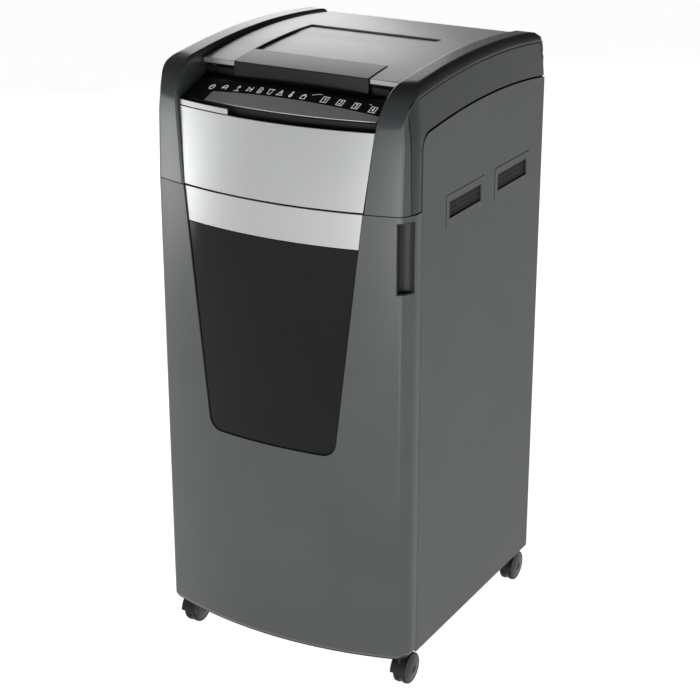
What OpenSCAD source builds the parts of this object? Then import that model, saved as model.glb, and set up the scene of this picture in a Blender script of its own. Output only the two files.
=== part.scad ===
// Auto-feed office paper shredder on castors, with a pull-out waste bin and a hinged lid.
// Millimetres, +Z up, front towards -Y, origin on the floor below the middle of its box.

/* [Body] */
// Width across the side panels
body_w = 480; // [474:2:486]
// Depth from the bowed front to the rear panel
body_d = 532; // [528:2:536]
// Radius of the bowed front, seen from above
bow_r = 700; // [690:5:710]
// Radius of the two upright front corners
corner_r = 28; // [26:1:30]
// Wall thickness of the mouldings
wall = 3; // [2.5:0.5:3.5]
// Thickness of the rear panel
back_t = 2.5; // [2:0.5:3]

/* [Castors] */
// Radius of a castor wheel
wheel_r = 28; // [26:1:28]
// How far the rear wheels reach behind the rear panel
wheel_overhang = 15; // [13:1:17]

/* [Lid] */
// Gap between the lid and the cheeks
lid_gap = 2; // [1.5:0.5:3]

/* [Drive] */
// Distance between the two cutter shafts
shaft_pitch = 44; // [44:2:44]
// Number of cutting discs on each shaft
disc_count = 17; // [9:2:19]

/* [Hidden] */

// Heights above the floor
base_z = 70;
seam_z = 857;
strip_z = 797;
window_z = 436;
fascia_z = 984;
ledge_z = 994;
panel_z = 996;

// Places along Y
y_front = -(body_d + wheel_overhang) / 2;
y_rear = y_front + body_d;
y_seam = y_rear - 451.6;
y_crease = y_rear - 482;
bow_y = y_front + bow_r;

// The cheeks' arch: circles about one line parallel to X
arch_y = y_rear - 220;
arch_z = -632;
arch_top_r = 1700;
crease_r = 1685;
panel_arch_r = 1624;

// The lid's own, slightly tighter arch
lid_y = y_rear - 200;
lid_arch_z = -438.6;
lid_r = 1500;
lid_front = y_rear - 416;
lid_half = 187.5 - lid_gap;

// Control area, as distances from the bow's centre line
fascia_lean = 9;
fascia_rec = 2.5;
panel_r = 674;
panel_slope = tan(20);
panel_back_r = 614;
strip_y = y_rear - 468;

// Drive train
module_mm = 2;
cutter_z = 898;
cutter_y = y_rear - 270;
roller_z = cutter_z + shaft_pitch;
shaft_teeth = shaft_pitch / module_mm;
idler_small = 14;
idler_large = 40;
pinion_teeth = 14;
idler_y = cutter_y + shaft_pitch / 2 + (shaft_teeth + idler_small) * module_mm / 2;
motor_y = idler_y + (idler_large + pinion_teeth) * module_mm / 2;
shaft_r = 6;
run_gap = 0.05;
plate_x = 172;
plate_t = 4;
gear_x = plate_x + plate_t + 6;
bed_z = 954;

// Castor places
castor_x = 216;
castor_front_y = y_rear - 461;
castor_rear_y = y_rear + wheel_overhang - wheel_r - 20;
castor_trail = 20;
stem_r = 5;

PLASTIC = [0.27, 0.29, 0.29];
DARK = [0.12, 0.12, 0.12];
SILVER = [0.75, 0.76, 0.77];
STEEL = [0.6, 0.6, 0.62];
BLACK = [0.05, 0.05, 0.05];

// ---- outline helpers ----------------------------------------------------

function arc(cx, cy, r, a0, a1, n) =
    [for (i = [0:n]) let(a = a0 + (a1 - a0) * i / n) [cx + r * cos(a), cy + r * sin(a)]];

// Half-width of the front opening between the pillars, which tapers downwards
function opening(z) = 161 + 0.11 * (z - strip_z);

function on_arch(y, r) = arch_z + sqrt(r * r - (y - arch_y) * (y - arch_y));

// Plan outline of the body, inset by t and closed off at y_back
function plan(t, y_back) =
    let (r = bow_r - t,
         c = corner_r - t,
         cx = body_w / 2 - corner_r,
         cy = bow_y - sqrt((r - c) * (r - c) - cx * cx),
         a = atan2(cy - bow_y, cx),
         x = body_w / 2 - t)
    concat([[x, y_back]],
           arc(cx, cy, c, 0, a, 9),
           arc(0, bow_y, r, a, -180 - a, 26),
           arc(-cx, cy, c, -180 - a, -180, 9),
           [[-x, y_back]]);

module form(t, z0, z1, y_back) {
    translate([0, 0, z0])
        linear_extrude(z1 - z0)
            polygon(plan(t, y_back));
}

// Prism along X of an outline given in (Y, Z)
module along_x(x0, x1) {
    translate([x0, 0, 0])
        rotate([90, 0, 90])
            linear_extrude(x1 - x0)
                children();
}

// Prism along Y of an outline given in (X, Z)
module along_y(y0, y1) {
    translate([0, y1, 0])
        rotate([90, 0, 0])
            linear_extrude(y1 - y0)
                children();
}

// Turned about the bow's upright line, from an outline given in (radius, Z)
module bowed(a = 24) {
    translate([0, bow_y, 0])
        rotate([0, 0, -90 - a])
            rotate_extrude(angle = 2 * a, $fn = 256)
                children();
}

// Turned about the arch's line, from an outline given in (radius, -X)
module arched(y, z) {
    translate([0, y, z])
        rotate([0, -90, 0])
            rotate([0, 0, -16])
                rotate_extrude(angle = 32, $fn = 256)
                    children();
}

module x_rod(x0, x1, y, z, r, fn = 48) {
    translate([x0, y, z])
        rotate([0, 90, 0])
            cylinder(h = x1 - x0, r = r, $fn = fn);
}

module y_rod(y0, y1, x, z, r, fn = 48) {
    translate([x, y0, z])
        rotate([-90, 0, 0])
            cylinder(h = y1 - y0, r = r, $fn = fn);
}

module block(x0, x1, y0, y1, z0, z1) {
    translate([x0, y0, z0])
        cube([x1 - x0, y1 - y0, z1 - z0]);
}

module both_sides() {
    children();
    mirror([1, 0, 0])
        children();
}

// ---- involute gears, turned so that their first tooth points along +Y ----------

function inv(a) = tan(a) * 180 / PI - a;

function tooth_half(r, base, n) =
    90 / n - 0.55 + inv(20) - (r > base ? inv(acos(base / r)) : 0);

function tooth(n, a) =
    let (pitch = n * module_mm / 2,
         base = pitch * cos(20),
         root = pitch - 1.15 * module_mm,
         tip = pitch + 0.85 * module_mm,
         low = max(root + 0.1, base),
         rs = [for (i = [0:3]) low + (tip - low) * i / 3],
         h = tooth_half(low, base, n))
    concat([root * [cos(a - h), sin(a - h)]],
           [for (r = rs) let(b = a - tooth_half(r, base, n)) [r * cos(b), r * sin(b)]],
           [for (i = [3:-1:0]) let(r = rs[i], b = a + tooth_half(r, base, n)) [r * cos(b), r * sin(b)]],
           [root * [cos(a + h), sin(a + h)]]);

module gear(n, x, w, y, z, half_turn = 0) {
    translate([x, y, z])
        rotate([90, 0, 90])
            linear_extrude(w)
                polygon([for (i = [0:n - 1]) each tooth(n, (i + half_turn / 2) * 360 / n)]);
}

// ---- cabinet ------------------------------------------------------------------

module castor_holes() {
    for (x = [-castor_x, castor_x])
        for (y = [castor_front_y, castor_rear_y])
            translate([x, y, base_z - 1])
                cylinder(h = 12, r = stem_r + run_gap, $fn = 48);
}

module base_tray() {
    color(DARK)
    difference() {
        union() {
            form(4.5, base_z, base_z + 6, y_rear - 3);
            for (x = [-castor_x, castor_x])
                for (y = [castor_front_y, castor_rear_y])
                    translate([x, y, base_z])
                        cylinder(h = 9, r = 2 * stem_r, $fn = 48);
            both_sides()
                block(225, 235, y_seam + 12, y_rear - 3, base_z + 5, base_z + 14);
            block(-225, 225, y_rear - 6, y_rear - back_t, base_z + 5, base_z + 30);
        }
        castor_holes();
    }
}

// Start and end of each vent slot along Y, from the rear, and the slots' heights
vent_slots = [[-357, -241], [-178, -63]];
vent_z0 = 819;
vent_z1 = 847.5;
groove_z = 859;

module vent_openings(t0, t1) {
    for (v = vent_slots)
        block(t0, t1, y_rear + v[0], y_rear + v[1], vent_z0, vent_z1);
}

module vent_grooves(t0, t1) {
    for (v = vent_slots) {
        block(t0, t1, y_rear + v[0] - 12, y_rear + v[1] + 8, groove_z, groove_z + 2.5);
        block(t0, t1, y_rear + v[0] - 13, y_rear + v[0] - 10.5, base_z + 736, groove_z + 0.5);
    }
}

module side_outline(g) {
    r = panel_arch_r + g;
    y0 = y_seam + 0.5 - g;
    cr = 25;
    polygon(concat(
        [[y0, base_z], [y_rear, base_z]],
        [for (i = [0:14]) let(y = y_rear + (y0 + cr - y_rear) * i / 14) [y, on_arch(y, r)]],
        arc(y0 + cr, on_arch(y0 + cr, r) - cr, cr, 98, 180, 8)));
}

module side_panel() {
    color(PLASTIC)
    difference() {
        along_x(body_w / 2 - wall, body_w / 2)
            side_outline(0);
        vent_openings(body_w / 2 - wall - 1, body_w / 2 + 1);
        vent_grooves(body_w / 2 - 1, body_w / 2 + 1);
    }
}

module side_panel_right() {
    side_panel();
}

module side_panel_left() {
    mirror([1, 0, 0])
        side_panel();
}

module vent_grilles() {
    color(BLACK)
    both_sides()
        for (v = vent_slots)
            difference() {
                block(body_w / 2 - wall - 2.5, body_w / 2 - wall, y_rear + v[0] - 5, y_rear + v[1] + 5,
                      vent_z0 - 4, vent_z1 + 4);
                for (k = [0:6])
                    block(body_w / 2 - wall - 3, body_w / 2 + 1,
                          y_rear + v[0] + 5 + k * 16, y_rear + v[0] + 14 + k * 16,
                          vent_z0 + 2, vent_z1 - 2);
            }
}

fan_x = -110;
fan_z = 898;
inlet_x = 150;
inlet_z = 140;
switch_x = 100;
rear_top = 1024;
board_z = 938;

module rear_panel() {
    x = body_w / 2 - wall - 0.5;
    x1 = opening(seam_z) - 1;
    x2 = opening(rear_top) - 1;
    color(PLASTIC)
    difference() {
        union() {
            along_y(y_rear - back_t, y_rear)
                polygon([[-x, base_z], [x, base_z], [x, seam_z - 1], [x1, seam_z - 1], [x2, rear_top],
                         [-x2, rear_top], [-x1, seam_z - 1], [-x, seam_z - 1]]);
            for (bx = [-142, -38])
                for (bz = [board_z + 8, board_z + 58])
                    y_rod(y_rear - 28, y_rear - back_t, bx, bz, 4, 24);
        }
        for (k = [0:7])
            block(-40, 120, y_rear - 4, y_rear + 1, 770 + k * 12, 775 + k * 12);
        y_rod(y_rear - 4, y_rear + 1, fan_x, fan_z, 30);
        for (x = [inlet_x, switch_x])
            block(x - 14, x + 14, y_rear - 4, y_rear + 1, inlet_z - 10, inlet_z + 10);
    }
}

// The pillars lean back by this much between the seam and the rounding at their top.
// The leaning face starts a little ahead of the bow, so the two cross above the seam.
pillar_lean = 5.6;
lean_start = 1;
front_top_r = 60;
front_top_z = 991.5;

// Outside form of a cheek, inset by t: plan, arch and rounded front-top and rear-top
module cheek_form(t) {
    side = body_w / 2 - t;
    intersection() {
        form(t, seam_z - (t > 0 ? 1 : 0), 1100, y_rear - t);
        arched(arch_y, arch_z)
            polygon(concat(
                [[1440, -side], [panel_arch_r, -side], [crease_r, -(side - 6)]],
                arc(arch_top_r - t - 15, -(side - 21), 15, -90, 0, 8),
                [[arch_top_r - t, 0], [1440, 0]]));
        bowed(60)
            polygon(concat(
                [[0, 800], [bow_r - t + lean_start, 800]],
                arc(bow_r - pillar_lean - front_top_r, front_top_z, front_top_r - t, 0, 82, 12),
                [[0, 1148 - t]]));
        along_x(0, body_w)
            polygon(concat(
                [[-400, 700], [y_rear - t, 700]],
                arc(y_rear - 16, 1040, 16 - t, 0, 84, 6),
                [[y_rear - 60, 1063 - t], [-400, 1200]]));
        along_y(-400, 400)
            polygon([[opening(700) + t, 700], [400, 700], [400, 1200], [opening(1200) + t, 1200]]);
    }
}

// The side band between the two arch lines, as an outline in (Y, Z)
module band_outline(g) {
    y0 = y_crease + g;
    r = crease_r - g;
    cr = 28;
    polygon(concat(
        [[y0, seam_z], [y_rear + 1, seam_z]],
        [for (i = [0:14]) let(y = y_rear + 1 + (y0 + cr - y_rear - 1) * i / 14) [y, on_arch(y, r)]],
        arc(y0 + cr, on_arch(y0 + cr, r) - cr, cr, 98, 180, 8)));
}

module cheek_shell() {
    difference() {
        cheek_form(0);
        cheek_form(wall);
    }
}

// Behind the pillar the inner wall stops above the drive, which reaches out below it
module cheek_cap() {
    color(PLASTIC)
    difference() {
        cheek_shell();
        difference() {
            along_x(226, 260)
                band_outline(0);
            block(220, body_w / 2 - wall - 0.5, y_rear - wall - 1, y_rear + 5, 800, 976.5);
        }
        block(150, 225, lid_front - 20, y_rear - wall - 0.5, seam_z - 1, 1000);
    }
}

module cheek_band() {
    color(PLASTIC)
    difference() {
        intersection() {
            cheek_shell();
            along_x(226.5, 260)
                band_outline(0.8);
        }
        along_x(200, 260)
            side_outline(0.8);
    }
}

module cheek_cap_right() {
    cheek_cap();
}

module cheek_cap_left() {
    difference() {
        mirror([1, 0, 0])
            cheek_cap();
        x_rod(-200, -180, bolt_y, bolt_z, bolt_r + 0.5);
    }
}

module cheek_band_right() {
    cheek_band();
}

module cheek_band_left() {
    mirror([1, 0, 0])
        cheek_band();
}

// Keeps what lies between the pillars, with gap g on each side
module between_pillars(g) {
    intersection() {
        children();
        along_y(-400, 400)
            polygon([[-opening(400) + g, 400], [opening(400) - g, 400],
                     [opening(1100) - g, 1100], [-opening(1100) + g, 1100]]);
    }
}

ledge_x = -76;

module fascia() {
    r0 = bow_r - fascia_rec;
    r1 = r0 - fascia_lean;
    color(SILVER)
    between_pillars(1.5) {
        bowed()
            polygon([[r0, seam_z + 1.5], [r1, fascia_z], [r1 - 2.5, fascia_z], [r0 - 2.5, seam_z + 1.5]]);
        intersection() {
            bowed()
                polygon([[r1 - 0.4, fascia_z], [r1 - 5, ledge_z],
                         [r1 - 7.5, ledge_z], [r1 - 2.5, fascia_z]]);
            block(-300, ledge_x, -300, 0, 900, 1100);
        }
    }
}

// Guides that lead a sheet from the manual slot down towards the cutters
module slot_chute() {
    color(DARK)
    between_pillars(2)
        bowed() {
            polygon([[685.8, 978], [684, 978], [600, 924], [600, 922]]);
            polygon([[671, 973], [600, 938], [600, 940], [671, 975]]);
        }
}

module control_housing() {
    back_z = panel_z + (panel_r - panel_back_r) * panel_slope;
    color(DARK)
    union() {
        between_pillars(0.8)
            bowed()
                polygon([[panel_r, 972], [panel_r, panel_z], [panel_back_r, back_z], [560, back_z],
                         [560, back_z - 3], [panel_back_r - 0.5, back_z - 3],
                         [panel_r - wall, panel_z - 2], [panel_r - wall, 972]]);
        block(-181, 181, lid_front + 6, lid_front + 9, back_z - 2, 1033);
    }
}

// A thin plate that lies on the sloping control surface
module on_slope(t) {
    bowed()
        polygon([[panel_r - 0.6, panel_z + 0.25], [panel_r - 0.6, panel_z + 0.25 + t],
                 [panel_back_r + 2, panel_z + t + (panel_r - panel_back_r - 2) * panel_slope],
                 [panel_back_r + 2, panel_z + (panel_r - panel_back_r - 2) * panel_slope]]);
}

apron_left = -135;
apron_right = 174;

module feed_apron() {
    color([0.4, 0.41, 0.4])
    intersection() {
        on_slope(1.2);
        block(apron_left, apron_right, -400, strip_y, 900, 1100);
    }
}

module control_strip() {
    color(BLACK)
    difference() {
        intersection() {
            between_pillars(2)
                on_slope(1.2);
            block(-300, apron_right, -400, 0, 900, 1100);
        }
        block(apron_left - 0.5, 300, -400, strip_y + 0.5, 900, 1100);
    }
}

tray_x = 112;
tray_y0 = y_rear - 397;
tray_y1 = y_rear - 82;

module paper_tray() {
    color(DARK)
    difference() {
        union() {
            block(-tray_x - 3, tray_x + 3, tray_y0 - 3, tray_y1 + 3, bed_z - 3, 1012);
            block(-172, 172, tray_y0 - 3, y_rear - 16, 1009, 1012);
        }
        block(-tray_x, tray_x, tray_y0, tray_y1, bed_z, 1020);
        block(-108, 108, cutter_y - 42, cutter_y + 42, bed_z - 5, bed_z + 1);
    }
}

module cutter_deck() {
    color(STEEL)
    difference() {
        block(-body_w / 2 + wall, body_w / 2 - wall, y_rear - 440, y_rear - 12, seam_z - 5, seam_z - 3);
        block(-165, 165, cutter_y - 50, cutter_y + 50, seam_z - 6, seam_z - 2);
    }
}

shaft_places = [[cutter_y - shaft_pitch / 2, cutter_z], [cutter_y + shaft_pitch / 2, cutter_z],
                [cutter_y - shaft_pitch / 2, roller_z], [cutter_y + shaft_pitch / 2, roller_z]];
bush_r = 9;

module end_plate(x0) {
    color(STEEL)
    difference() {
        block(x0, x0 + plate_t, cutter_y - 60, motor_y + 52, seam_z - 3, roller_z + 14);
        for (p = shaft_places)
            x_rod(x0 - 1, x0 + plate_t + 1, p[0], p[1], bush_r);
        children();
    }
}

module end_plate_right() {
    end_plate(plate_x) {
        x_rod(plate_x - 1, plate_x + plate_t + 1, motor_y, cutter_z, 11);
        x_rod(plate_x - 1, plate_x + plate_t + 1, idler_y, cutter_z, 4 + run_gap);
    }
}

module end_plate_left() {
    end_plate(-plate_x - plate_t)
        x_rod(-plate_x - plate_t - 1, -plate_x + 1, motor_y, cutter_z, 11);
}

tie_places = [[cutter_y - 54, seam_z + 8], [cutter_y - 54, roller_z + 4], [cutter_y + 54, seam_z + 8],
              [motor_y + 46, roller_z + 4]];

module tie_bars() {
    color(STEEL)
    for (p = tie_places)
        x_rod(-plate_x, plate_x, p[0], p[1], 5, 32);
}

disc_w = 5;
disc_step = 14;

function disc_x(i) = (i - (disc_count - 1) / 2) * disc_step - disc_step / 4 - disc_w / 2;

comb_y = shaft_pitch / 2 + 20;

module stripper_combs() {
    color(STEEL) {
    for (s = [-1, 1])
        x_rod(-plate_x, plate_x, cutter_y + s * (comb_y + 8), cutter_z, 3, 32);
    for (s = [-1, 1])
        for (i = [0:disc_count])
            translate([disc_x(i) + (s > 0 ? 7 : 0) - 4.5, 0, 0])
                block(0, 2, cutter_y + s * comb_y - 8, cutter_y + s * comb_y + 8,
                      cutter_z - 12, cutter_z + 12);
    }
}

module bearings() {
    color([0.72, 0.55, 0.3])
    for (p = shaft_places)
        for (x = [-plate_x - plate_t - 1, plate_x - 1])
            difference() {
                x_rod(x, x + plate_t + 2, p[0], p[1], bush_r);
                x_rod(x - 1, x + plate_t + 3, p[0], p[1], shaft_r + run_gap);
            }
}

motor_r = 38;

module motor() {
    color([0.2, 0.2, 0.22])
    difference() {
        union() {
            x_rod(10, plate_x, motor_y, cutter_z, motor_r, 64);
            for (x = [22, 150])
                x_rod(x, x + 6, motor_y, cutter_z, motor_r + 3, 64);
            x_rod(0, 10, motor_y, cutter_z, 14);
        }
        x_rod(60, plate_x + 1, motor_y, cutter_z, 5 + run_gap);
    }
}

module circuit_board() {
    color([0.05, 0.25, 0.12])
        block(-150, -30, y_rear - 29.6, y_rear - 28, board_z, board_z + 66);
    color(BLACK)
    for (k = [0:3])
        block(-140 + k * 24, -124 + k * 24, y_rear - 42, y_rear - 29.6,
              board_z + 12 * (k % 2) + 8, board_z + 12 * (k % 2) + 30);
    color(STEEL)
        block(-62, -40, y_rear - 46, y_rear - 29.6, board_z + 38, board_z + 60);
}

fan_y = y_rear - back_t;
fan_hub_r = 12;
fan_pin_r = 2;

module fan_frame() {
    color(BLACK) {
        difference() {
            block(fan_x - 36, fan_x + 36, fan_y - 22, fan_y, fan_z - 36, fan_z + 36);
            y_rod(fan_y - 23, fan_y + 1, fan_x, fan_z, 33, 64);
        }
        for (a = [45, 135])
            translate([fan_x, fan_y - 2, fan_z])
                rotate([0, a, 0])
                    translate([-34, 0, -2])
                        cube([68, 2, 4]);
        y_rod(fan_y - 4, fan_y, fan_x, fan_z, fan_hub_r);
        y_rod(fan_y - 14, fan_y, fan_x, fan_z, fan_pin_r, 24);
    }
}

module fan_rotor() {
    color([0.15, 0.15, 0.15])
    difference() {
        union() {
            y_rod(fan_y - 20, fan_y - 5, fan_x, fan_z, fan_hub_r);
            for (k = [0:6])
                translate([fan_x, fan_y - 18, fan_z])
                    rotate([0, k * 360 / 7, 0])
                        translate([0, 0, fan_hub_r - 1])
                            rotate([0, 0, 32])
                                translate([-8, 2, 0])
                                    cube([16, 1.6, 20]);
        }
        y_rod(fan_y - 16, fan_y - 4, fan_x, fan_z, fan_pin_r + run_gap, 24);
    }
}

module power_inlet() {
    color(BLACK)
    difference() {
        union() {
            block(inlet_x - 13.7, inlet_x + 13.7, y_rear - 22, y_rear, inlet_z - 9.7, inlet_z + 9.7);
            block(inlet_x - 17, inlet_x + 17, y_rear, y_rear + 2, inlet_z - 13, inlet_z + 13);
        }
        block(inlet_x - 12, inlet_x + 12, y_rear - 15, y_rear + 3, inlet_z - 8, inlet_z + 8);
    }
    color(STEEL)
    for (x = [-7, 0, 7])
        block(inlet_x + x - 1, inlet_x + x + 1, y_rear - 15, y_rear - 3, inlet_z - 2, inlet_z + 2);
}

module switch_bezel() {
    color(BLACK)
    difference() {
        union() {
            block(switch_x - 13.7, switch_x + 13.7, y_rear - 18, y_rear, inlet_z - 9.7, inlet_z + 9.7);
            block(switch_x - 16, switch_x + 16, y_rear, y_rear + 2, inlet_z - 12, inlet_z + 12);
        }
        block(switch_x - 11, switch_x + 11, y_rear - 12, y_rear + 3, inlet_z - 7.5, inlet_z + 7.5);
    }
}

switch_tilt = 7;

module rocker_switch() {
    color([0.15, 0.15, 0.15])
    translate([switch_x, y_rear - 3, inlet_z])
        rotate([0, 0, switch_tilt])
            translate([0, 0, -7])
                linear_extrude(14)
                    polygon([[-9.5, 4.5], [0, 2.5], [9.5, 4.5], [9.5, 1.5],
                             [4, -4], [-4, -4], [-9.5, 1.5]]);
}

rail_z = 110;

module bin_rails() {
    color(STEEL)
    both_sides() {
        block(233, body_w / 2 - wall, y_seam + 6, y_rear - 14, rail_z - 14, rail_z + 14);
        block(226, 233, y_seam + 6, y_rear - 14, rail_z - 14, rail_z - 11);
        block(226, 233, y_seam + 6, y_rear - 14, rail_z + 11, rail_z + 14);
    }
}

hinge_y = y_rear - 7;
hinge_z = 1032;
hinge_xs = [-130, 130];

module hinge_blocks() {
    color(STEEL)
    for (x = hinge_xs) {
        for (s = [-1, 1])
            difference() {
                union() {
                    x_rod(x + s * 16 - 7, x + s * 16 + 7, hinge_y, hinge_z, 6);
                    block(x + s * 16 - 7, x + s * 16 + 7, hinge_y - 6, hinge_y + 4.5, 1005, hinge_z);
                }
                x_rod(x - 30, x + 30, hinge_y, hinge_z, 3);
            }
        x_rod(x - 26, x + 26, hinge_y, hinge_z, 3);
    }
}

module cabinet_screws() {
    color(STEEL)
    for (x = [-225, 225])
        for (z = [90, 330, 620, 900])
            difference() {
                y_rod(y_rear, y_rear + 2.2, x, z, 4, 24);
                block(x - 3, x + 3, y_rear + 1, y_rear + 3, z - 0.5, z + 0.5);
                block(x - 0.5, x + 0.5, y_rear + 1, y_rear + 3, z - 3, z + 3);
            }
}

bolt_y = lid_front + 30;
bolt_z = 1029;
bolt_r = 4;

module lock_solenoid() {
    color([0.2, 0.2, 0.22])
    difference() {
        union() {
            block(-226, -194, bolt_y - 11, bolt_y + 11, bolt_z - 11, bolt_z + 11);
            block(-194.5, -192, bolt_y - 18, bolt_y + 18, bolt_z - 12, bolt_z + 12);
        }
        x_rod(-224, -191, bolt_y, bolt_z, bolt_r + run_gap, 32);
    }
}

module interlock_switch() {
    color(BLACK)
        block(-228, -214, y_rear - 438, y_rear - 412, seam_z - 3, seam_z + 18);
}

// ---- waste drawer ----------------------------------------------------------------

door_z0 = base_z + 1;
door_z1 = seam_z - 1.5;
pocket_x = 234.2;
pocket_y = y_rear - 488.7;
pocket_r = 14.9;
pocket_z0 = 730;
pocket_z1 = 844;

module opening_outline(g, z0, z1, r) {
    cx = opening(z0 + r) - g - r * sqrt(1 + 0.11 * 0.11);
    polygon(concat(
        arc(cx, z0 + r, r, -90, -6.3, 7),
        [[opening(z1) - g, z1], [-opening(z1) + g, z1]],
        arc(-cx, z0 + r, r, -173.7, -90, 7)));
}

module pocket(r, z0, z1) {
    translate([pocket_x, pocket_y, z0])
        cylinder(h = z1 - z0, r = r, $fn = 64);
}

// Ledge behind the door's opening, from depth t0 to t1 and from gap g0 to g1 inside the outline
module frame_ring(t0, t1, g0, g1) {
    intersection() {
        difference() {
            form(t0, base_z + 10, door_z1 - 0.5, y_seam - 0.5);
            form(t1, base_z + 9, door_z1 + 1, y_seam + 1);
        }
        along_y(-300, -200)
            difference() {
                opening_outline(g0, window_z + g0, door_z1 - 0.5, 25);
                opening_outline(g1, window_z + g1, door_z1 + 1, 25);
            }
    }
}

module door_shell() {
    yb = y_seam - 0.5;
    color(PLASTIC)
    difference() {
        union() {
            difference() {
                form(0, door_z0, door_z1, yb);
                form(wall, door_z0 - 1, door_z1 - wall, yb + 1);
                along_y(-300, -200)
                    opening_outline(0, window_z, door_z1 + 1, 25);
            }
            frame_ring(wall - 0.5, 9, -10, 0);
            frame_ring(7, 9, -1, 8);
            form(wall - 0.5, base_z + 10, base_z + 13, yb);
            both_sides()
                block(runner_x, body_w / 2 - 1, y_seam - 12, yb, rail_z - 10.5, rail_z + 10.5);
        }
        pocket(pocket_r + 2.1, pocket_z0 - 2.1, pocket_z1 + 2.1);
    }
}

module door_strip() {
    color(SILVER)
    intersection() {
        bowed()
            polygon([[697.5, strip_z], [697.5, door_z1], [693.5, door_z1], [693.5, strip_z]]);
        along_y(-300, -200)
            opening_outline(1.5, window_z, door_z1, 24);
    }
}

module door_window() {
    color(BLACK)
    intersection() {
        bowed()
            polygon([[697.5, window_z], [697.5, strip_z - 0.5], [693.5, strip_z - 0.5], [693.5, window_z]]);
        along_y(-300, -200)
            opening_outline(1.5, window_z + 1.5, strip_z, 24);
    }
}

module handle_pocket() {
    color(DARK)
    intersection() {
        difference() {
            pocket(pocket_r + 2, pocket_z0 - 2, pocket_z1 + 2);
            pocket(pocket_r, pocket_z0, pocket_z1);
        }
        form(0.4, pocket_z0 - 5, pocket_z1 + 5, y_seam - 2);
    }
}

bin_x = 212;
bin_y0 = y_rear - 448;
bin_y1 = y_rear - 24;
bin_z0 = base_z + 14;
bin_z1 = 820;

runner_x = 232.6;

module waste_bin() {
    color(DARK)
    difference() {
        block(-bin_x, bin_x, bin_y0, bin_y1, bin_z0, bin_z1);
        block(-bin_x + 3, bin_x - 3, bin_y0 + 3, bin_y1 - 3, bin_z0 + 3, bin_z1 + 1);
    }
}

module bin_runners() {
    color(STEEL)
    both_sides()
        block(bin_x, runner_x, y_seam - 10, y_rear - 30, rail_z - 10.5, rail_z + 10.5);
}

// ---- lid ---------------------------------------------------------------------------

inset_x = 125;
inset_y = y_rear - 170;

module lid_sheet(half, r0, r1, y0, y1) {
    intersection() {
        arched(lid_y, lid_arch_z)
            polygon([[r0, -half], [r1, -half], [r1, half], [r0, half]]);
        block(-300, 300, y0, y1, 900, 1200);
    }
}

// Points along the lid's arch of radius r, from y0 to y1
function lid_arc(r, y0, y1) =
    [for (i = [0:20])
        let(y = y0 + (y1 - y0) * i / 20)
        [y, lid_arch_z + sqrt(r * r - (y - lid_y) * (y - lid_y))]];

module lid_panel() {
    color(SILVER)
    difference() {
        along_x(-lid_half, lid_half)
            polygon(concat(lid_arc(lid_r, lid_front, y_rear), lid_arc(lid_r - 3, y_rear, lid_front + 3),
                           [[lid_front + 3, 1037.5], [lid_front, 1037.5]]));
        block(-inset_x - 0.8, inset_x + 0.8, lid_front - 1, inset_y + 0.8, 1000, 1100);
    }
}

lip_back = y_rear - 355;

module lid_lip() {
    color(BLACK)
    along_x(-inset_x, inset_x)
        polygon(concat(
            lid_arc(lid_r + 1, lid_front - 2.5, lip_back),
            lid_arc(lid_r - 3, lip_back, lid_front + 3),
            [[lid_front + 3, 1021.5], [lid_front - 2.5, 1021.5]]));
}

module lid_inset() {
    color(SILVER)
        lid_sheet(inset_x, lid_r - 6, lid_r - 3.2, lip_back + 0.5, inset_y);
}

module lid_liner() {
    color(DARK)
    difference() {
        union() {
            lid_sheet(lid_half - 4, lid_r - 11, lid_r - 9.2, lid_front + 4, y_rear - 12);
            both_sides()
                lid_sheet(lid_half - 4, lid_r - 9.2, lid_r - 3.1, lid_front + 4, y_rear - 12);
        }
        block(-inset_x - 1, inset_x + 1, lid_front - 1, inset_y + 2, 900, 1200);
        lid_sheet(lid_half - 7, lid_r - 9.2, lid_r - 2, lid_front + 7, y_rear - 15);
    }
    color(DARK)
    for (x = hinge_xs)
        difference() {
            union() {
                x_rod(x - 8, x + 8, hinge_y, hinge_z, 6);
                block(x - 8, x + 8, hinge_y - 16, hinge_y, hinge_z, hinge_z + 8.5);
            }
            x_rod(x - 9, x + 9, hinge_y, hinge_z, 3 + run_gap);
        }
}

plate_pivot_y = y_rear - 110;
plate_pivot_z = 1030;
plate_drop = 17;
press_x = 90;

// Everything above the lid liner's underside
module above_liner_face() {
    lid_sheet(lid_half, lid_r - 11.05, lid_r + 5, lid_front, y_rear);
}

// Lugs under the lid that carry the pressure plate's pins, and the lock's catch
module lid_catches() {
    color(STEEL) {
        both_sides() {
            difference() {
                block(press_x + 6, press_x + 11, plate_pivot_y - 7, plate_pivot_y + 7,
                      plate_pivot_z - 6, 1060);
                above_liner_face();
            }
            x_rod(press_x - 6, press_x + 8, plate_pivot_y, plate_pivot_z, 3, 32);
        }
        difference() {
            block(-lid_half + 4, -lid_half + 9, bolt_y - 10, bolt_y + 10, bolt_z - 9, 1052);
            above_liner_face();
            x_rod(-lid_half + 3, -lid_half + 10, bolt_y, bolt_z, bolt_r + 1);
        }
    }
}

module pressure_plate() {
    color(DARK)
    translate([0, plate_pivot_y, plate_pivot_z])
        rotate([plate_drop, 0, 0])
            difference() {
                union() {
                    block(-press_x, press_x, -225, 6, -7, -5);
                    both_sides() {
                        x_rod(press_x - 5, press_x + 4, 0, 0, 5, 32);
                        block(press_x - 5, press_x, -6, 5, -6, 0);
                    }
                }
                x_rod(-press_x - 6, press_x + 6, 0, 0, 3 + run_gap, 32);
            }
}

// ---- turning parts -------------------------------------------------------------------

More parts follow.
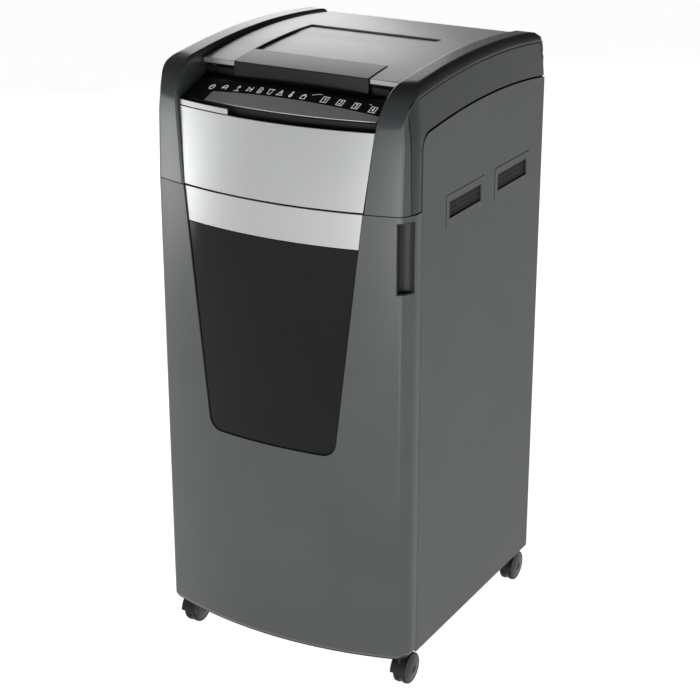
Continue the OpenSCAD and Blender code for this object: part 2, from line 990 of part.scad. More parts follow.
module cutter_shaft(y, odd) {
    color(STEEL)
    union() {
        x_rod(-plate_x - plate_t - 3, gear_x + 8, y, cutter_z, shaft_r);
        x_rod(-plate_x + 2, plate_x - 2, y, cutter_z, 11, 48);
        for (i = [0:disc_count - 1])
            translate([disc_x(i) + odd * disc_step / 2, 0, 0])
                x_rod(0, disc_w, y, cutter_z, 24, 48);
    }
    color([0.4, 0.4, 0.42])
        gear(shaft_teeth, gear_x, 6, y, cutter_z, 1 - odd);
}

module cutter_shaft_front() {
    cutter_shaft(cutter_y - shaft_pitch / 2, 0);
}

module cutter_shaft_rear() {
    cutter_shaft(cutter_y + shaft_pitch / 2, 1);
}

module feed_roller(y, half_turn) {
    color([0.08, 0.08, 0.08])
    union() {
        x_rod(-plate_x - plate_t - 3, gear_x + 8, y, roller_z, shaft_r);
        for (x = [-90, -50, -10, 30, 70])
            x_rod(x, x + 20, y, roller_z, bed_z + 3 - roller_z, 48);
    }
    color([0.85, 0.85, 0.8])
        gear(shaft_teeth, gear_x, 6, y, roller_z, half_turn);
}

module feed_roller_front() {
    feed_roller(cutter_y - shaft_pitch / 2, 0);
}

module feed_roller_rear() {
    feed_roller(cutter_y + shaft_pitch / 2, 1);
}

module idler_gear() {
    color([0.85, 0.85, 0.8])
    union() {
        gear(idler_small, gear_x, 6, idler_y, cutter_z, 1);
        gear(idler_large, gear_x + 10, 6, idler_y, cutter_z, 0);
        x_rod(gear_x + 5, gear_x + 11, idler_y, cutter_z, 9);
        x_rod(plate_x - 4, gear_x + 16, idler_y, cutter_z, 4, 32);
    }
}

module motor_pinion() {
    color(STEEL)
    union() {
        gear(pinion_teeth, gear_x + 10, 6, motor_y, cutter_z, 1);
        x_rod(100, gear_x + 17, motor_y, cutter_z, 5, 32);
    }
}

module lock_bolt() {
    color(STEEL)
        x_rod(-212, -187.5, bolt_y, bolt_z, bolt_r, 32);
}

// ---- castors ---------------------------------------------------------------------------

axle_r = 3;
fork_top = base_z - 8;

module castor_fork(x, y) {
    wy = y + castor_trail;
    color(DARK)
    translate([x, 0, 0]) {
        translate([0, y, fork_top])
            cylinder(h = 16.5, r = stem_r, $fn = 48);
        translate([0, y, fork_top])
            cylinder(h = 6, r = 13, $fn = 48);
        block(-2.4, 2.4, y - 6, wy + 6, wheel_r - 6, fork_top);
        intersection() {
            difference() {
                x_rod(-14.6, 14.6, wy, wheel_r, wheel_r + 4.5, 64);
                x_rod(-15, 15, wy, wheel_r, wheel_r + 1.5, 64);
            }
            block(-20, 20, y - 40, wy - 2, wheel_r + 2, fork_top + 4);
        }
        x_rod(-13.5, 13.5, wy, wheel_r, axle_r, 32);
    }
}

module castor_wheel() {
    rotate([0, 90, 0])
        rotate_extrude($fn = 96)
            polygon(concat(
                [[axle_r + run_gap, 3.2], [wheel_r - 1.5, 3.2], [wheel_r, 4.7], [wheel_r, 9.5]],
                arc(wheel_r - 4, 9.5, 4, 15, 50, 3),
                [[wheel_r - 8, 13.8], [6, 14.8], [6, 14], [axle_r + run_gap, 14]]));
}

module castor_wheels(x, y) {
    color([0.2, 0.22, 0.22])
    translate([x, y + castor_trail, wheel_r])
        both_sides()
            castor_wheel();
}

module castor_fork_fl() {
    castor_fork(-castor_x, castor_front_y);
}

module castor_fork_fr() {
    castor_fork(castor_x, castor_front_y);
}

module castor_fork_rl() {
    castor_fork(-castor_x, castor_rear_y);
}

module castor_fork_rr() {
    castor_fork(castor_x, castor_rear_y);
}

module castor_wheels_fl() {
    castor_wheels(-castor_x, castor_front_y);
}

module castor_wheels_fr() {
    castor_wheels(castor_x, castor_front_y);
}

module castor_wheels_rl() {
    castor_wheels(-castor_x, castor_rear_y);
}

module castor_wheels_rr() {
    castor_wheels(castor_x, castor_rear_y);
}

base_tray();
side_panel_left();
side_panel_right();
vent_grilles();
rear_panel();
cheek_band_left();
cheek_band_right();
cheek_cap_left();
cheek_cap_right();
fascia();
slot_chute();
control_housing();
control_strip();
feed_apron();
paper_tray();
cutter_deck();
end_plate_left();
end_plate_right();
tie_bars();
stripper_combs();
bearings();
motor();
circuit_board();
fan_frame();
power_inlet();
switch_bezel();
bin_rails();
hinge_blocks();
cabinet_screws();
interlock_switch();
lock_solenoid();
door_shell();
door_strip();
door_window();
handle_pocket();
waste_bin();
bin_runners();
lid_panel();
lid_lip();
lid_inset();
lid_liner();
lid_catches();
pressure_plate();
feed_roller_front();
feed_roller_rear();
cutter_shaft_front();
cutter_shaft_rear();
idler_gear();
motor_pinion();
fan_rotor();
rocker_switch();
lock_bolt();
castor_fork_fl();
castor_fork_fr();
castor_fork_rl();
castor_fork_rr();
castor_wheels_fl();
castor_wheels_fr();
castor_wheels_rl();
castor_wheels_rr();
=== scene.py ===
import math

import bmesh
import bpy
import numpy as np
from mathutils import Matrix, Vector


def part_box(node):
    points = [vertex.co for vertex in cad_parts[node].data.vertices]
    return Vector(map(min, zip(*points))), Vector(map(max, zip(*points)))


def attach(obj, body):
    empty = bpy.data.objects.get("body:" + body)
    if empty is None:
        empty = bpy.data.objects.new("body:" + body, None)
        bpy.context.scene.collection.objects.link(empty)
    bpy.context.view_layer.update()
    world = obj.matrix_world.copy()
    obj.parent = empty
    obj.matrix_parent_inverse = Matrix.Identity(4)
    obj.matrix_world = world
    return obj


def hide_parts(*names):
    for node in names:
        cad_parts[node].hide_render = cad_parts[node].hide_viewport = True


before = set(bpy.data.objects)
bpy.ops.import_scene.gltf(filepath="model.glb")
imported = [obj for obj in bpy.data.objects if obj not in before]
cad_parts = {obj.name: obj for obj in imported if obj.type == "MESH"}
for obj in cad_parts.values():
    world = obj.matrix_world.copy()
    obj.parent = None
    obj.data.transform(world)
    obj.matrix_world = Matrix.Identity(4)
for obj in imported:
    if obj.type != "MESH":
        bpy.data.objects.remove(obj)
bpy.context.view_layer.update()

# ---- places, in millimetres -----------------------------------------------------------------
MM = 0.001


def cad_box(node):
    """The lowest and highest corner of a CAD node."""
    lo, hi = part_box(node)
    return [v / MM for v in lo], [v / MM for v in hi]


DOOR_LO, DOOR_HI = cad_box("door_shell")
EDGE_GAP = 1.5                          # round the parts set into the front opening
DOOR_LIFT = 1.0                         # of the door's lower edge above the base
HALF_W = DOOR_HI[0]
Y_FRONT = DOOR_LO[1]
Y_REAR = cad_box("rear_panel")[1][1]
BASE_Z = DOOR_LO[2] - DOOR_LIFT
SEAM_Z = cad_box("cheek_cap_right")[0][2]
STRIP_Z = cad_box("door_strip")[0][2]
WINDOW_Z = cad_box("door_window")[0][2] - EDGE_GAP
BOW_R = 700.0
FACE_R = BOW_R - 2.5                    # the window, the strip and the foot of the fascia
WALL = 3.0
BOW_Y = Y_FRONT + BOW_R
Y_SEAM = Y_REAR - 451.6
Y_CREASE = Y_REAR - 479.5
ARCH_Y, ARCH_Z = Y_REAR - 220.0, -632.0
ARCH_TOP_R, CREASE_R, PANEL_ARCH_R = 1700.0, 1685.0, 1624.0
LID_Y, LID_ARCH_Z, LID_R = Y_REAR - 200.0, -438.6, 1500.0
LID_FRONT = Y_REAR - 416.0
LIP_BACK = Y_REAR - 355.0
INSET_Y = Y_REAR - 170.0
INSET_X = 125.0
LID_HALF = cad_box("lid_panel")[1][0]
FASCIA_Z, LEDGE_Z, PANEL_Z = 984.0, 994.0, 996.0
PANEL_R, PANEL_BACK_R = 674.0, 614.0
SLOPE = math.tan(math.radians(20))
STRIP_HALF_W, OPENING_FLARE = 161.0, 0.11
FLARE_LENGTH = 1.006                    # of the slanted edge, for each unit of height


def opening(z):
    """Half-width of the front opening between the pillars."""
    return STRIP_HALF_W + OPENING_FLARE * (z - STRIP_Z)


def on_arch(y, r):
    """Height of the side arches at y."""
    return ARCH_Z + np.sqrt(r * r - (y - ARCH_Y) ** 2)


def on_lid(y, r):
    """Height of the lid's arch at y."""
    return LID_ARCH_Z + np.sqrt(r * r - (y - LID_Y) ** 2)


# ---- camera ---------------------------------------------------------------------------------
CAM_AZ, CAM_EL = math.radians(29.65), math.radians(21.70)
CAM_PLACE = (1.5033, -2.6398, 1.7203)
cam_data = bpy.data.cameras.new("camera")
cam = bpy.data.objects.new("camera", cam_data)
bpy.context.scene.collection.objects.link(cam)
bpy.context.scene.camera = cam
cam.location = CAM_PLACE
view = Vector((-math.sin(CAM_AZ) * math.cos(CAM_EL),
               math.cos(CAM_AZ) * math.cos(CAM_EL),
               -math.sin(CAM_EL)))
cam.rotation_euler = view.to_track_quat("-Z", "Y").to_euler()
cam_data.sensor_width = 36.0
cam_data.lens = 95.21
cam_data.clip_end = 100.0

# ---- materials ------------------------------------------------------------------------------


def new_material(name):
    mat = bpy.data.materials.new(name)
    mat.use_nodes = True
    nt = mat.node_tree
    return mat, nt, nt.nodes["Principled BSDF"]


def add_node(nt, kind, **values):
    """A shader node; a value's name is its socket's, with _ for a space."""
    n = nt.nodes.new(kind)
    set_sockets(n, **values)
    return n


def set_sockets(n, **values):
    for key, value in values.items():
        n.inputs[key.replace("_", " ")].default_value = value


def noise(nt, scale, detail, stretch=(1, 1, 1)):
    """Noise in the piece's own frame."""
    n = add_node(nt, "ShaderNodeTexNoise", Scale=scale, Detail=detail)
    coords = add_node(nt, "ShaderNodeTexCoord")
    mapping = add_node(nt, "ShaderNodeMapping", Scale=stretch)
    nt.links.new(coords.outputs["Object"], mapping.inputs["Vector"])
    nt.links.new(mapping.outputs["Vector"], n.inputs["Vector"])
    return n.outputs["Fac"]


def ramp(nt, source, low, high):
    """The middle of the noise's range, stretched from low to high."""
    r = add_node(nt, "ShaderNodeMapRange", From_Min=0.3, From_Max=0.7, To_Min=low, To_Max=high)
    nt.links.new(source, r.inputs["Value"])
    return r.outputs["Result"]


def mix_colours(nt, source, dark, light):
    m = nt.nodes.new("ShaderNodeMix")
    m.data_type = "RGBA"
    set_sockets(m, A=(*dark, 1), B=(*light, 1))
    nt.links.new(ramp(nt, source, 0.0, 1.0), m.inputs["Factor"])
    return m.outputs["Result"]


def bump(nt, bsdf, source, strength, distance):
    b = add_node(nt, "ShaderNodeBump", Strength=strength, Distance=distance)
    nt.links.new(source, b.inputs["Height"])
    nt.links.new(b.outputs["Normal"], bsdf.inputs["Normal"])


def glow(bsdf, strength):
    set_sockets(bsdf, Emission_Color=(1, 1, 1, 1), Emission_Strength=strength)


def plastic(name, dark, light, rough, grain, relief, spec=0.5):
    """Moulded plastic: fine grain, slow drift of tone and gloss."""
    mat, nt, bsdf = new_material(name)
    slow = noise(nt, scale=6.0, detail=3.0)
    fine = noise(nt, scale=grain, detail=2.0)
    nt.links.new(mix_colours(nt, slow, dark, light), bsdf.inputs["Base Color"])
    nt.links.new(ramp(nt, fine, *rough), bsdf.inputs["Roughness"])
    bump(nt, bsdf, fine, relief, distance=0.0004)
    set_sockets(bsdf, Specular_IOR_Level=spec)
    return mat


def brushed(name, dark, light, stretch, rough, metallic=1.0, relief=0.05):
    """Metal or silver paint with fine streaks, long where the stretch is small."""
    mat, nt, bsdf = new_material(name)
    streaks = noise(nt, scale=900.0, detail=3.0, stretch=stretch)
    slow = noise(nt, scale=4.0, detail=2.0)
    nt.links.new(mix_colours(nt, slow, dark, light), bsdf.inputs["Base Color"])
    nt.links.new(ramp(nt, streaks, *rough), bsdf.inputs["Roughness"])
    bump(nt, bsdf, streaks, relief, distance=0.0002)
    set_sockets(bsdf, Metallic=metallic)
    return mat


BODY = plastic("charcoal_body", (0.062, 0.068, 0.068), (0.072, 0.078, 0.077),
               rough=(0.30, 0.38), grain=1800.0, relief=0.05, spec=0.35)
CHEEK = plastic("charcoal_cheek", (0.054, 0.060, 0.061), (0.062, 0.068, 0.069),
                rough=(0.26, 0.33), grain=1800.0, relief=0.04, spec=0.4)
BAND = plastic("charcoal_band", (0.030, 0.035, 0.036), (0.036, 0.041, 0.042),
               rough=(0.34, 0.42), grain=1800.0, relief=0.05, spec=0.3)
PANEL = plastic("charcoal_panel", (0.060, 0.066, 0.066), (0.070, 0.076, 0.075),
                rough=(0.40, 0.48), grain=1500.0, relief=0.07, spec=0.3)
DARK = plastic("dark_plastic", (0.016, 0.017, 0.017), (0.020, 0.021, 0.021),
               rough=(0.38, 0.48), grain=1600.0, relief=0.08, spec=0.2)
POCKET = plastic("pocket_plastic", (0.014, 0.015, 0.015), (0.018, 0.019, 0.019),
                 rough=(0.38, 0.48), grain=1600.0, relief=0.08, spec=0.25)
GLOSS = plastic("gloss_black", (0.014, 0.014, 0.014), (0.018, 0.018, 0.018),
                rough=(0.14, 0.18), grain=700.0, relief=0.01, spec=0.22)
LIP = plastic("lip_black", (0.022, 0.023, 0.023), (0.028, 0.029, 0.029),
              rough=(0.28, 0.36), grain=1500.0, relief=0.05)
APRON = plastic("apron_grey", (0.70, 0.705, 0.70), (0.74, 0.745, 0.74),
                rough=(0.40, 0.50), grain=1500.0, relief=0.08, spec=0.3)
WINDOW = plastic("window_black", (0.006, 0.006, 0.006), (0.008, 0.008, 0.008),
                 rough=(0.12, 0.18), grain=500.0, relief=0.006, spec=0.14)
WHEEL = plastic("wheel_grey", (0.018, 0.021, 0.021), (0.023, 0.026, 0.026),
                rough=(0.34, 0.42), grain=1500.0, relief=0.06, spec=0.3)
# Black rubber of the tyres, and also the black of the painted shade in the grooves along the
# creases.
TYRE_AND_GROOVE_SHADE = plastic("tyre_black_and_groove_shade", (0.008, 0.009, 0.009), (0.012, 0.013, 0.013),
               rough=(0.5, 0.6), grain=1200.0, relief=0.1, spec=0.2)
RUBBER = plastic("roller_rubber", (0.012, 0.012, 0.012), (0.02, 0.02, 0.02),
                 rough=(0.6, 0.75), grain=900.0, relief=0.2)
NYLON = plastic("gear_nylon", (0.66, 0.66, 0.6), (0.74, 0.74, 0.68),
                rough=(0.35, 0.45), grain=1200.0, relief=0.06)
MOTOR = plastic("motor_black", (0.02, 0.02, 0.022), (0.03, 0.03, 0.032),
                rough=(0.3, 0.42), grain=1400.0, relief=0.12)
BOARD = plastic("board_green", (0.01, 0.07, 0.03), (0.015, 0.1, 0.045),
                rough=(0.3, 0.4), grain=500.0, relief=0.1)
GLOWING_INK = plastic("icon_ink_painted_glow", (0.93, 0.93, 0.92), (0.97, 0.97, 0.96),
              rough=(0.4, 0.5), grain=2000.0, relief=0.02)
# The white ink is also made to glow: painted light, as the icons are no lamps.
glow(GLOWING_INK.node_tree.nodes["Principled BSDF"], 0.4)
SILVER = brushed("silver_front", (0.40, 0.405, 0.405), (0.42, 0.425, 0.425),
                 stretch=(1.0, 1.0, 0.02), rough=(0.36, 0.42), metallic=0.8, relief=0.015)
LID_SILVER = brushed("silver_lid", (0.51, 0.515, 0.51), (0.53, 0.535, 0.53),
                     stretch=(1.0, 0.02, 1.0), rough=(0.42, 0.48), metallic=0.8, relief=0.015)
STEEL = brushed("plain_steel", (0.42, 0.42, 0.43), (0.52, 0.52, 0.53),
                stretch=(0.05, 1.0, 1.0), rough=(0.28, 0.42))
HARD_STEEL = brushed("oiled_steel", (0.16, 0.16, 0.17), (0.24, 0.24, 0.25),
                     stretch=(0.3, 1.0, 1.0), rough=(0.3, 0.45))
BRONZE = brushed("sintered_bronze", (0.40, 0.25, 0.10), (0.50, 0.33, 0.15),
                 stretch=(1.0, 1.0, 1.0), rough=(0.4, 0.5))

# ---- mesh helpers ---------------------------------------------------------------------------


def add_object(name, mesh, material):
    """Puts a mesh into the scene as an object with one material."""
    obj = bpy.data.objects.new(name, mesh)
    bpy.context.scene.collection.objects.link(obj)
    mesh.materials.append(material)
    return obj


def mesh_object(name, points, faces, material):
    """An object from points in millimetres."""
    mesh = bpy.data.meshes.new(name)
    mesh.from_pydata([tuple(float(c) * MM for c in p) for p in points], [],
                     [tuple(f) for f in faces])
    mesh.update()
    return add_object(name, mesh, material)


def bake(obj):
    """Applies the modifiers, so the mesh is what is seen."""
    graph = bpy.context.evaluated_depsgraph_get()
    graph.update()
    done = bpy.data.meshes.new_from_object(obj.evaluated_get(graph))
    obj.modifiers.clear()
    obj.data = done


def smooth(obj, angle):
    """Smooth shading, with edges above the angle kept sharp."""
    for p in obj.data.polygons:
        p.use_smooth = True
    obj.data.set_sharp_from_angle(angle=math.radians(angle))


def add_bevel(obj, width, segments, angle=40):
    """Rounds the edges above the angle."""
    m = obj.modifiers.new("bevel", "BEVEL")
    m.width = width * MM
    m.segments = segments
    m.limit_method = "ANGLE"
    m.angle_limit = math.radians(angle)
    m.miter_outer = "MITER_ARC"
    even = obj.modifiers.new("normals", "WEIGHTED_NORMAL")
    even.keep_sharp = True
    even.weight = 80


def finish_piece(obj, body, *nodes, slot, width=0.0, segments=2, angle=40, sharp=32):
    """Smooths, bevels and bakes a piece, and says what it rides on and stands for."""
    smooth(obj, sharp)
    if width:
        add_bevel(obj, width, segments, angle)
    bake(obj)
    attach(obj, body)
    if nodes:
        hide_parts(*nodes)
    return obj


def outward(obj):
    """Turns every face of a closed mesh outwards."""
    bm = bmesh.new()
    bm.from_mesh(obj.data)
    bmesh.ops.recalc_face_normals(bm, faces=bm.faces)
    bm.to_mesh(obj.data)
    bm.free()
    return obj


def shell(name, outer, inner, material, keep=None):
    """A closed wall between two point grids of one shape; keep says which cells stay."""
    rows, cols, _ = outer.shape
    n = rows * cols
    if keep is None:
        keep = np.ones((rows - 1, cols - 1), bool)
    faces = []
    for i in range(rows - 1):
        for j in range(cols - 1):
            if not keep[i][j]:
                continue
            a, b = i * cols + j, i * cols + j + 1
            c, d = b + cols, a + cols
            faces += [(a, b, c, d), (n + d, n + c, n + b, n + a)]
            rims = [(a, b, i == 0 or not keep[i - 1][j]),
                    (b, c, j == cols - 2 or not keep[i][j + 1]),
                    (c, d, i == rows - 2 or not keep[i + 1][j]),
                    (d, a, j == 0 or not keep[i][j - 1])]
            faces += [(v, u, n + u, n + v) for u, v, open_side in rims if open_side]
    points = np.concatenate([outer.reshape(-1, 3), inner.reshape(-1, 3)])
    used = sorted({v for f in faces for v in f})
    index = {v: k for k, v in enumerate(used)}
    faces = [[index[v] for v in f] for f in faces]
    return outward(mesh_object(name, points[used], faces, material))


def prism(name, outline, axis, a, b, material):
    """A solid from a closed outline, from a to b: (y, z) points along x or (x, y) along z."""
    n = len(outline)
    if axis == "x":
        points = [(t, y, z) for t in (a, b) for y, z in outline]
    else:
        points = [(x, y, t) for t in (a, b) for x, y in outline]
    faces = [list(range(n))[::-1], list(range(n, 2 * n))]
    faces += [[i, (i + 1) % n, n + (i + 1) % n, n + i] for i in range(n)]
    return outward(mesh_object(name, points, faces, material))


def box(name, lo, hi, material):
    outline = [(lo[0], lo[1]), (hi[0], lo[1]), (hi[0], hi[1]), (lo[0], hi[1])]
    return prism(name, outline, "z", lo[2], hi[2], material)


def side_box(name, side, xs, ys, zs, material):
    """A box between two distances from the middle, on the left (-1) or the right (1)."""
    lo, hi = sorted(side * x for x in xs)
    return box(name, (lo, ys[0], zs[0]), (hi, ys[1], zs[1]), material)


def join(objs, name):
    """One object from several, with their meshes together."""
    bm = bmesh.new()
    for o in objs:
        bm.from_mesh(o.data)
    mesh = bpy.data.meshes.new(name)
    bm.to_mesh(mesh)
    bm.free()
    material = objs[0].data.materials[0]
    for o in objs:
        bpy.data.objects.remove(o)
    return add_object(name, mesh, material)


def cut(obj, cutter):
    """Takes the cutter's volume out of the object."""
    m = obj.modifiers.new("cut", "BOOLEAN")
    m.operation = "DIFFERENCE"
    m.solver = "EXACT"
    m.object = cutter
    bake(obj)
    bpy.data.objects.remove(cutter)


def lathe(name, profile, centre, material, steps=96):
    """A piece turned about x, from a closed line of (radius, distance along x) points."""
    rows = len(profile)
    points = []
    for k in range(steps):
        a = 2 * math.pi * k / steps
        for r, t in profile:
            p = (t, r * math.cos(a), r * math.sin(a))
            points.append([p[i] + centre[i] for i in range(3)])
    faces = []
    for k in range(steps):
        this, after = k * rows, (k + 1) % steps * rows
        for i in range(rows):
            n = (i + 1) % rows
            faces.append((this + i, this + n, after + n, after + i))
    return outward(mesh_object(name, points, faces, material))


def mirrored(obj, name):
    """The same piece on the other side of the X = 0 plane."""
    bm = bmesh.new()
    bm.from_mesh(obj.data)
    for v in bm.verts:
        v.co.x = -v.co.x
    bmesh.ops.reverse_faces(bm, faces=bm.faces)
    mesh = bpy.data.meshes.new(name)
    bm.to_mesh(mesh)
    bm.free()
    return add_object(name, mesh, obj.data.materials[0])


def lerp(a, b, n, ends=True):
    """n + 1 even values from a to b, or n without the last."""
    return [a + (b - a) * i / n for i in range(n + (1 if ends else 0))]


def polar(r, angle):
    return r * math.cos(math.radians(angle)), r * math.sin(math.radians(angle))


def ring(r, a0=0, a1=360, cx=0.0, cy=0.0, n=14):
    """Points of an arc of radius r between two angles in degrees."""
    arc = [polar(r, a) for a in lerp(a0, a1, n)]
    return [(cx + x, cy + y) for x, y in arc]


def bow_y(x, r):
    """Place on the front bow, or on a bow behind it."""
    return BOW_Y - math.sqrt(r * r - x * x)


# ---- outline of the body --------------------------------------------------------------------
FACET_NORMAL = (0.870, -0.493)
FACET_OUT = 313.4
BOW_FILLET, SIDE_FILLET = 2.8, 4.5      # at the facet's two edges
CORNER_EYE = (205.0, -205.0)
CORNER_REACH = 60
# seen from the eye, closest together where the outline bends
CORNER_ANGLES = [62, 60, 58.5, 57, 56, 55, 54, 53, 51.5, 49, 42, 32, 22, 17, 13, 10, 7, 3]
HALVINGS = 32


def round_max(a, b, r):
    """Both distances kept inside, with a fillet of size r where they meet."""
    ua, ub = np.maximum(a + r, 0), np.maximum(b + r, 0)
    return np.minimum(-r, np.maximum(a, b)) + np.sqrt(ua * ua + ub * ub)


def plan_distance(x, y):
    """Signed distance to the plan outline: bowed front, slanted corner facet, flat side."""
    bow = np.hypot(x, y - BOW_Y) - BOW_R
    facet = FACET_NORMAL[0] * x + FACET_NORMAL[1] * y - FACET_OUT
    return round_max(round_max(bow, facet, BOW_FILLET), x - HALF_W, SIDE_FILLET)


def solve(f, hi, shape):
    """The largest distance at which f is still below zero, found by halving."""
    lo, hi = np.zeros(shape), np.full(shape, float(hi))
    for _ in range(HALVINGS):
        m = (lo + hi) / 2
        inside = f(m) < 0
        lo, hi = np.where(inside, m, lo), np.where(inside, hi, m)
    return lo


def corner_points(t):
    """Outline points round the right corner, inset by t, from the front to the side."""
    a = np.radians(CORNER_ANGLES)
    eye_x, eye_y = CORNER_EYE
    c, s = np.cos(a), -np.sin(a)
    reach = solve(lambda d: plan_distance(eye_x + d * c, eye_y + d * s) + t, CORNER_REACH, a.shape)
    return [(float(x), float(y)) for x, y in zip(eye_x + reach * c, eye_y + reach * s)]


# ---- door -----------------------------------------------------------------------------------
OPENING_COLS, PILLAR_COLS = 12, 10
POCKET_FRONT_X = 219.3
POCKET_COL = OPENING_COLS + PILLAR_COLS
POCKET_END = POCKET_COL + 1 + CORNER_ANGLES.index(13)
POCKET_Z0, POCKET_Z1 = 727.9, 846.1
WINDOW_CORNER = 25.0
WINDOW_CORNER_ANGLES = (6, 14, 24, 36, 48, 60, 72, 84)
DOOR_BACK = Y_SEAM - 0.5
DOOR_TOP = SEAM_Z - 1.5
BOTTOM_R = 9.0
BOTTOM_ANGLES = (10, 26, 42, 58, 74, 90)
BOTTOM_LEAN = 0.3                       # of the inner face at the rounded bottom
ARC_PART = 0.9                          # of a lower corner's height, up to the slanted side
NEAR = 0.01


def corner_edge(z, low, corner, gap=0.0):
    """Half-width at height z of a panel with rounded lower corners, gap inside the opening."""
    base = opening(low + corner) - gap - corner * FLARE_LENGTH
    if z <= low:
        return base
    if z < low + corner * ARC_PART:
        d = corner - (z - low)
        return base + math.sqrt(corner ** 2 - d * d)
    return opening(z) - gap


def window_edge(z):
    return corner_edge(z, WINDOW_Z, WINDOW_CORNER)


def door_row(z, inset):
    """Points of the door's skin at height z, from its middle round to its right rear edge."""
    edge = window_edge(z)
    xs = lerp(0, edge, OPENING_COLS, False) + lerp(edge, POCKET_FRONT_X, PILLAR_COLS)
    row = [(x, bow_y(x, BOW_R - inset)) for x in xs]
    row += corner_points(inset) + [(HALF_W - inset, DOOR_BACK)]
    return [(x, y, z) for x, y in row]


door_zs = [BASE_Z + DOOR_LIFT + BOTTOM_R * (1 - math.cos(math.radians(a)))
           for a in BOTTOM_ANGLES]
door_insets = [BOTTOM_R * (1 - math.sin(math.radians(a))) for a in BOTTOM_ANGLES]
door_zs += lerp(door_zs[-1], WINDOW_Z, 12)[1:]
door_zs += [WINDOW_Z + WINDOW_CORNER * (1 - math.cos(math.radians(a)))
            for a in WINDOW_CORNER_ANGLES]
door_zs += lerp(door_zs[-1], POCKET_Z0, 12)[1:]
door_zs += lerp(POCKET_Z0, POCKET_Z1, 6)[1:] + [DOOR_TOP]
door_insets += [0.0] * (len(door_zs) - len(door_insets))


def door_grid(depth):
    """The door's skin, or with a depth its inner face."""
    rows = []
    for k, (z, inset) in enumerate(zip(door_zs, door_insets)):
        rise = depth * (1 - (BOTTOM_R - inset) / BOTTOM_R) if k < len(BOTTOM_ANGLES) else 0.0
        row = door_row(z, inset + depth - rise * BOTTOM_LEAN)
        right = [(x, y, h + rise) for x, y, h in row]
        rows.append([(-x, y, h) for x, y, h in right[:0:-1]] + right)
    return np.array(rows)


def door_cell(z, j, middle):
    """Whether the door's skin has a cell here: not in the window, nor in the grip's pocket."""
    k = j - middle if j >= middle else middle - 1 - j
    in_window = k < OPENING_COLS and z >= WINDOW_Z - NEAR
    in_pocket = (j >= middle and POCKET_COL <= k < POCKET_END
                 and POCKET_Z0 - NEAR <= z < POCKET_Z1 - NEAR)
    return not (in_window or in_pocket)


door_skin = door_grid(0.0)
door_cols = door_skin.shape[1]
door_cells = [[door_cell(z, j, door_cols // 2) for j in range(door_cols - 1)]
              for z in door_zs[:-1]]
door = shell("door_front", door_skin, door_grid(WALL), BODY, door_cells)
finish_piece(door, "drawer", "door_shell", slot="side_plastic", width=1.3, segments=4, angle=60)


def door_plan(t):
    """Plan outline of the door, inset by t and closed at its back."""
    corner = corner_points(t)[::-1]
    front = [(x, bow_y(x, BOW_R - t)) for x in lerp(POCKET_FRONT_X - t, t - POCKET_FRONT_X, 30)]
    pts = [(HALF_W - t, DOOR_BACK)] + corner + front
    return pts + [(-x, y) for x, y in corner[::-1]] + [(t - HALF_W, DOOR_BACK)]


plate_plan = door_plan(WALL + 0.1)
roof = prism("door_top_wall", plate_plan, "z", DOOR_TOP - WALL, DOOR_TOP - 0.3, BODY)
finish_piece(roof, "drawer", slot="side_plastic", width=0.4)
foot = prism("door_bottom_plate", plate_plan, "z", BASE_Z + 10, BASE_Z + 13, DARK)
finish_piece(foot, "drawer", slot="side_plastic", width=0.4)
LUG_XS = (232.7, HALF_W - WALL)
LUG_YS = (DOOR_BACK - 11.5, DOOR_BACK)
LUG_ZS = (99.5, 120.5)
lugs = [side_box("lug", side, LUG_XS, LUG_YS, LUG_ZS, DARK) for side in (-1, 1)]
finish_piece(join(lugs, "door_lugs"), "drawer", slot="side_plastic", width=0.5)

# ---- finger grip: a curved wall behind the door's right corner, closed at both ends ---------
GRIP_X, GRIP_Y, GRIP_R = 234.2, Y_REAR - 488.7, 14.9
GRIP_Z0, GRIP_Z1 = 730.0, 844.0
GRIP_WALL = 1.8


def grip_arc(r):
    """Points of the grip's round wall that lie inside the door's outline."""
    arc = [polar(r, a) for a in range(30, 300, 3)]
    arc = [(GRIP_X + x, GRIP_Y + y) for x, y in arc]
    return [p for p in arc if plan_distance(*p) < -0.6]


def grip_slab(name, outline, z0, z1):
    return prism(name, outline, "z", z0, z1, POCKET)


grip_wall = grip_arc(GRIP_R) + grip_arc(GRIP_R + GRIP_WALL)[::-1]
grip_end = grip_arc(GRIP_R + GRIP_WALL)
grip_end += [p for p in corner_points(0.8) if math.hypot(p[0] - GRIP_X, p[1] - GRIP_Y) < GRIP_R]
grip = [grip_slab("wall", grip_wall, GRIP_Z0 - 1, GRIP_Z1 + 1),
        grip_slab("low_end", grip_end, GRIP_Z0 - GRIP_WALL, GRIP_Z0),
        grip_slab("high_end", grip_end, GRIP_Z1, GRIP_Z1 + GRIP_WALL)]
finish_piece(join(grip, "grip_cup"), "drawer", "handle_pocket", slot="dark_plastic", width=0.3)

# ---- sheets on the bow: window, silver strip and the dark frame behind their edges ----------
WINDOW_LOW = WINDOW_Z + EDGE_GAP
GLASS_CORNER = 24.0
GLASS_ANGLES = (2, 10, 20, 32, 44, 56, 68, 80, 90)
GLASS_T = 4.0
FRAME_R, FRAME_T = 692.8, 2.5
FRAME_LAP = 8
SILL_HALF = 130


def bow_row(z, r, lo, hi, cols):
    """Points along a bow at height z."""
    return [(x, bow_y(x, r), z) for x in lerp(lo, hi, cols)]


def thinner(points, t):
    """The same points moved by t towards the bow's axis."""
    pts = np.array(points, float)
    v = pts[..., :2] - np.array([0.0, BOW_Y])
    r = np.linalg.norm(v, axis=-1, keepdims=True)
    pts[..., :2] = np.array([0.0, BOW_Y]) + v * (r - t) / r
    return pts


def bow_shell(name, rows, t, material):
    return shell(name, np.array(rows), thinner(rows, t), material)


def set_in(z):
    """Half-width of a part set into the opening."""
    return opening(z) - EDGE_GAP


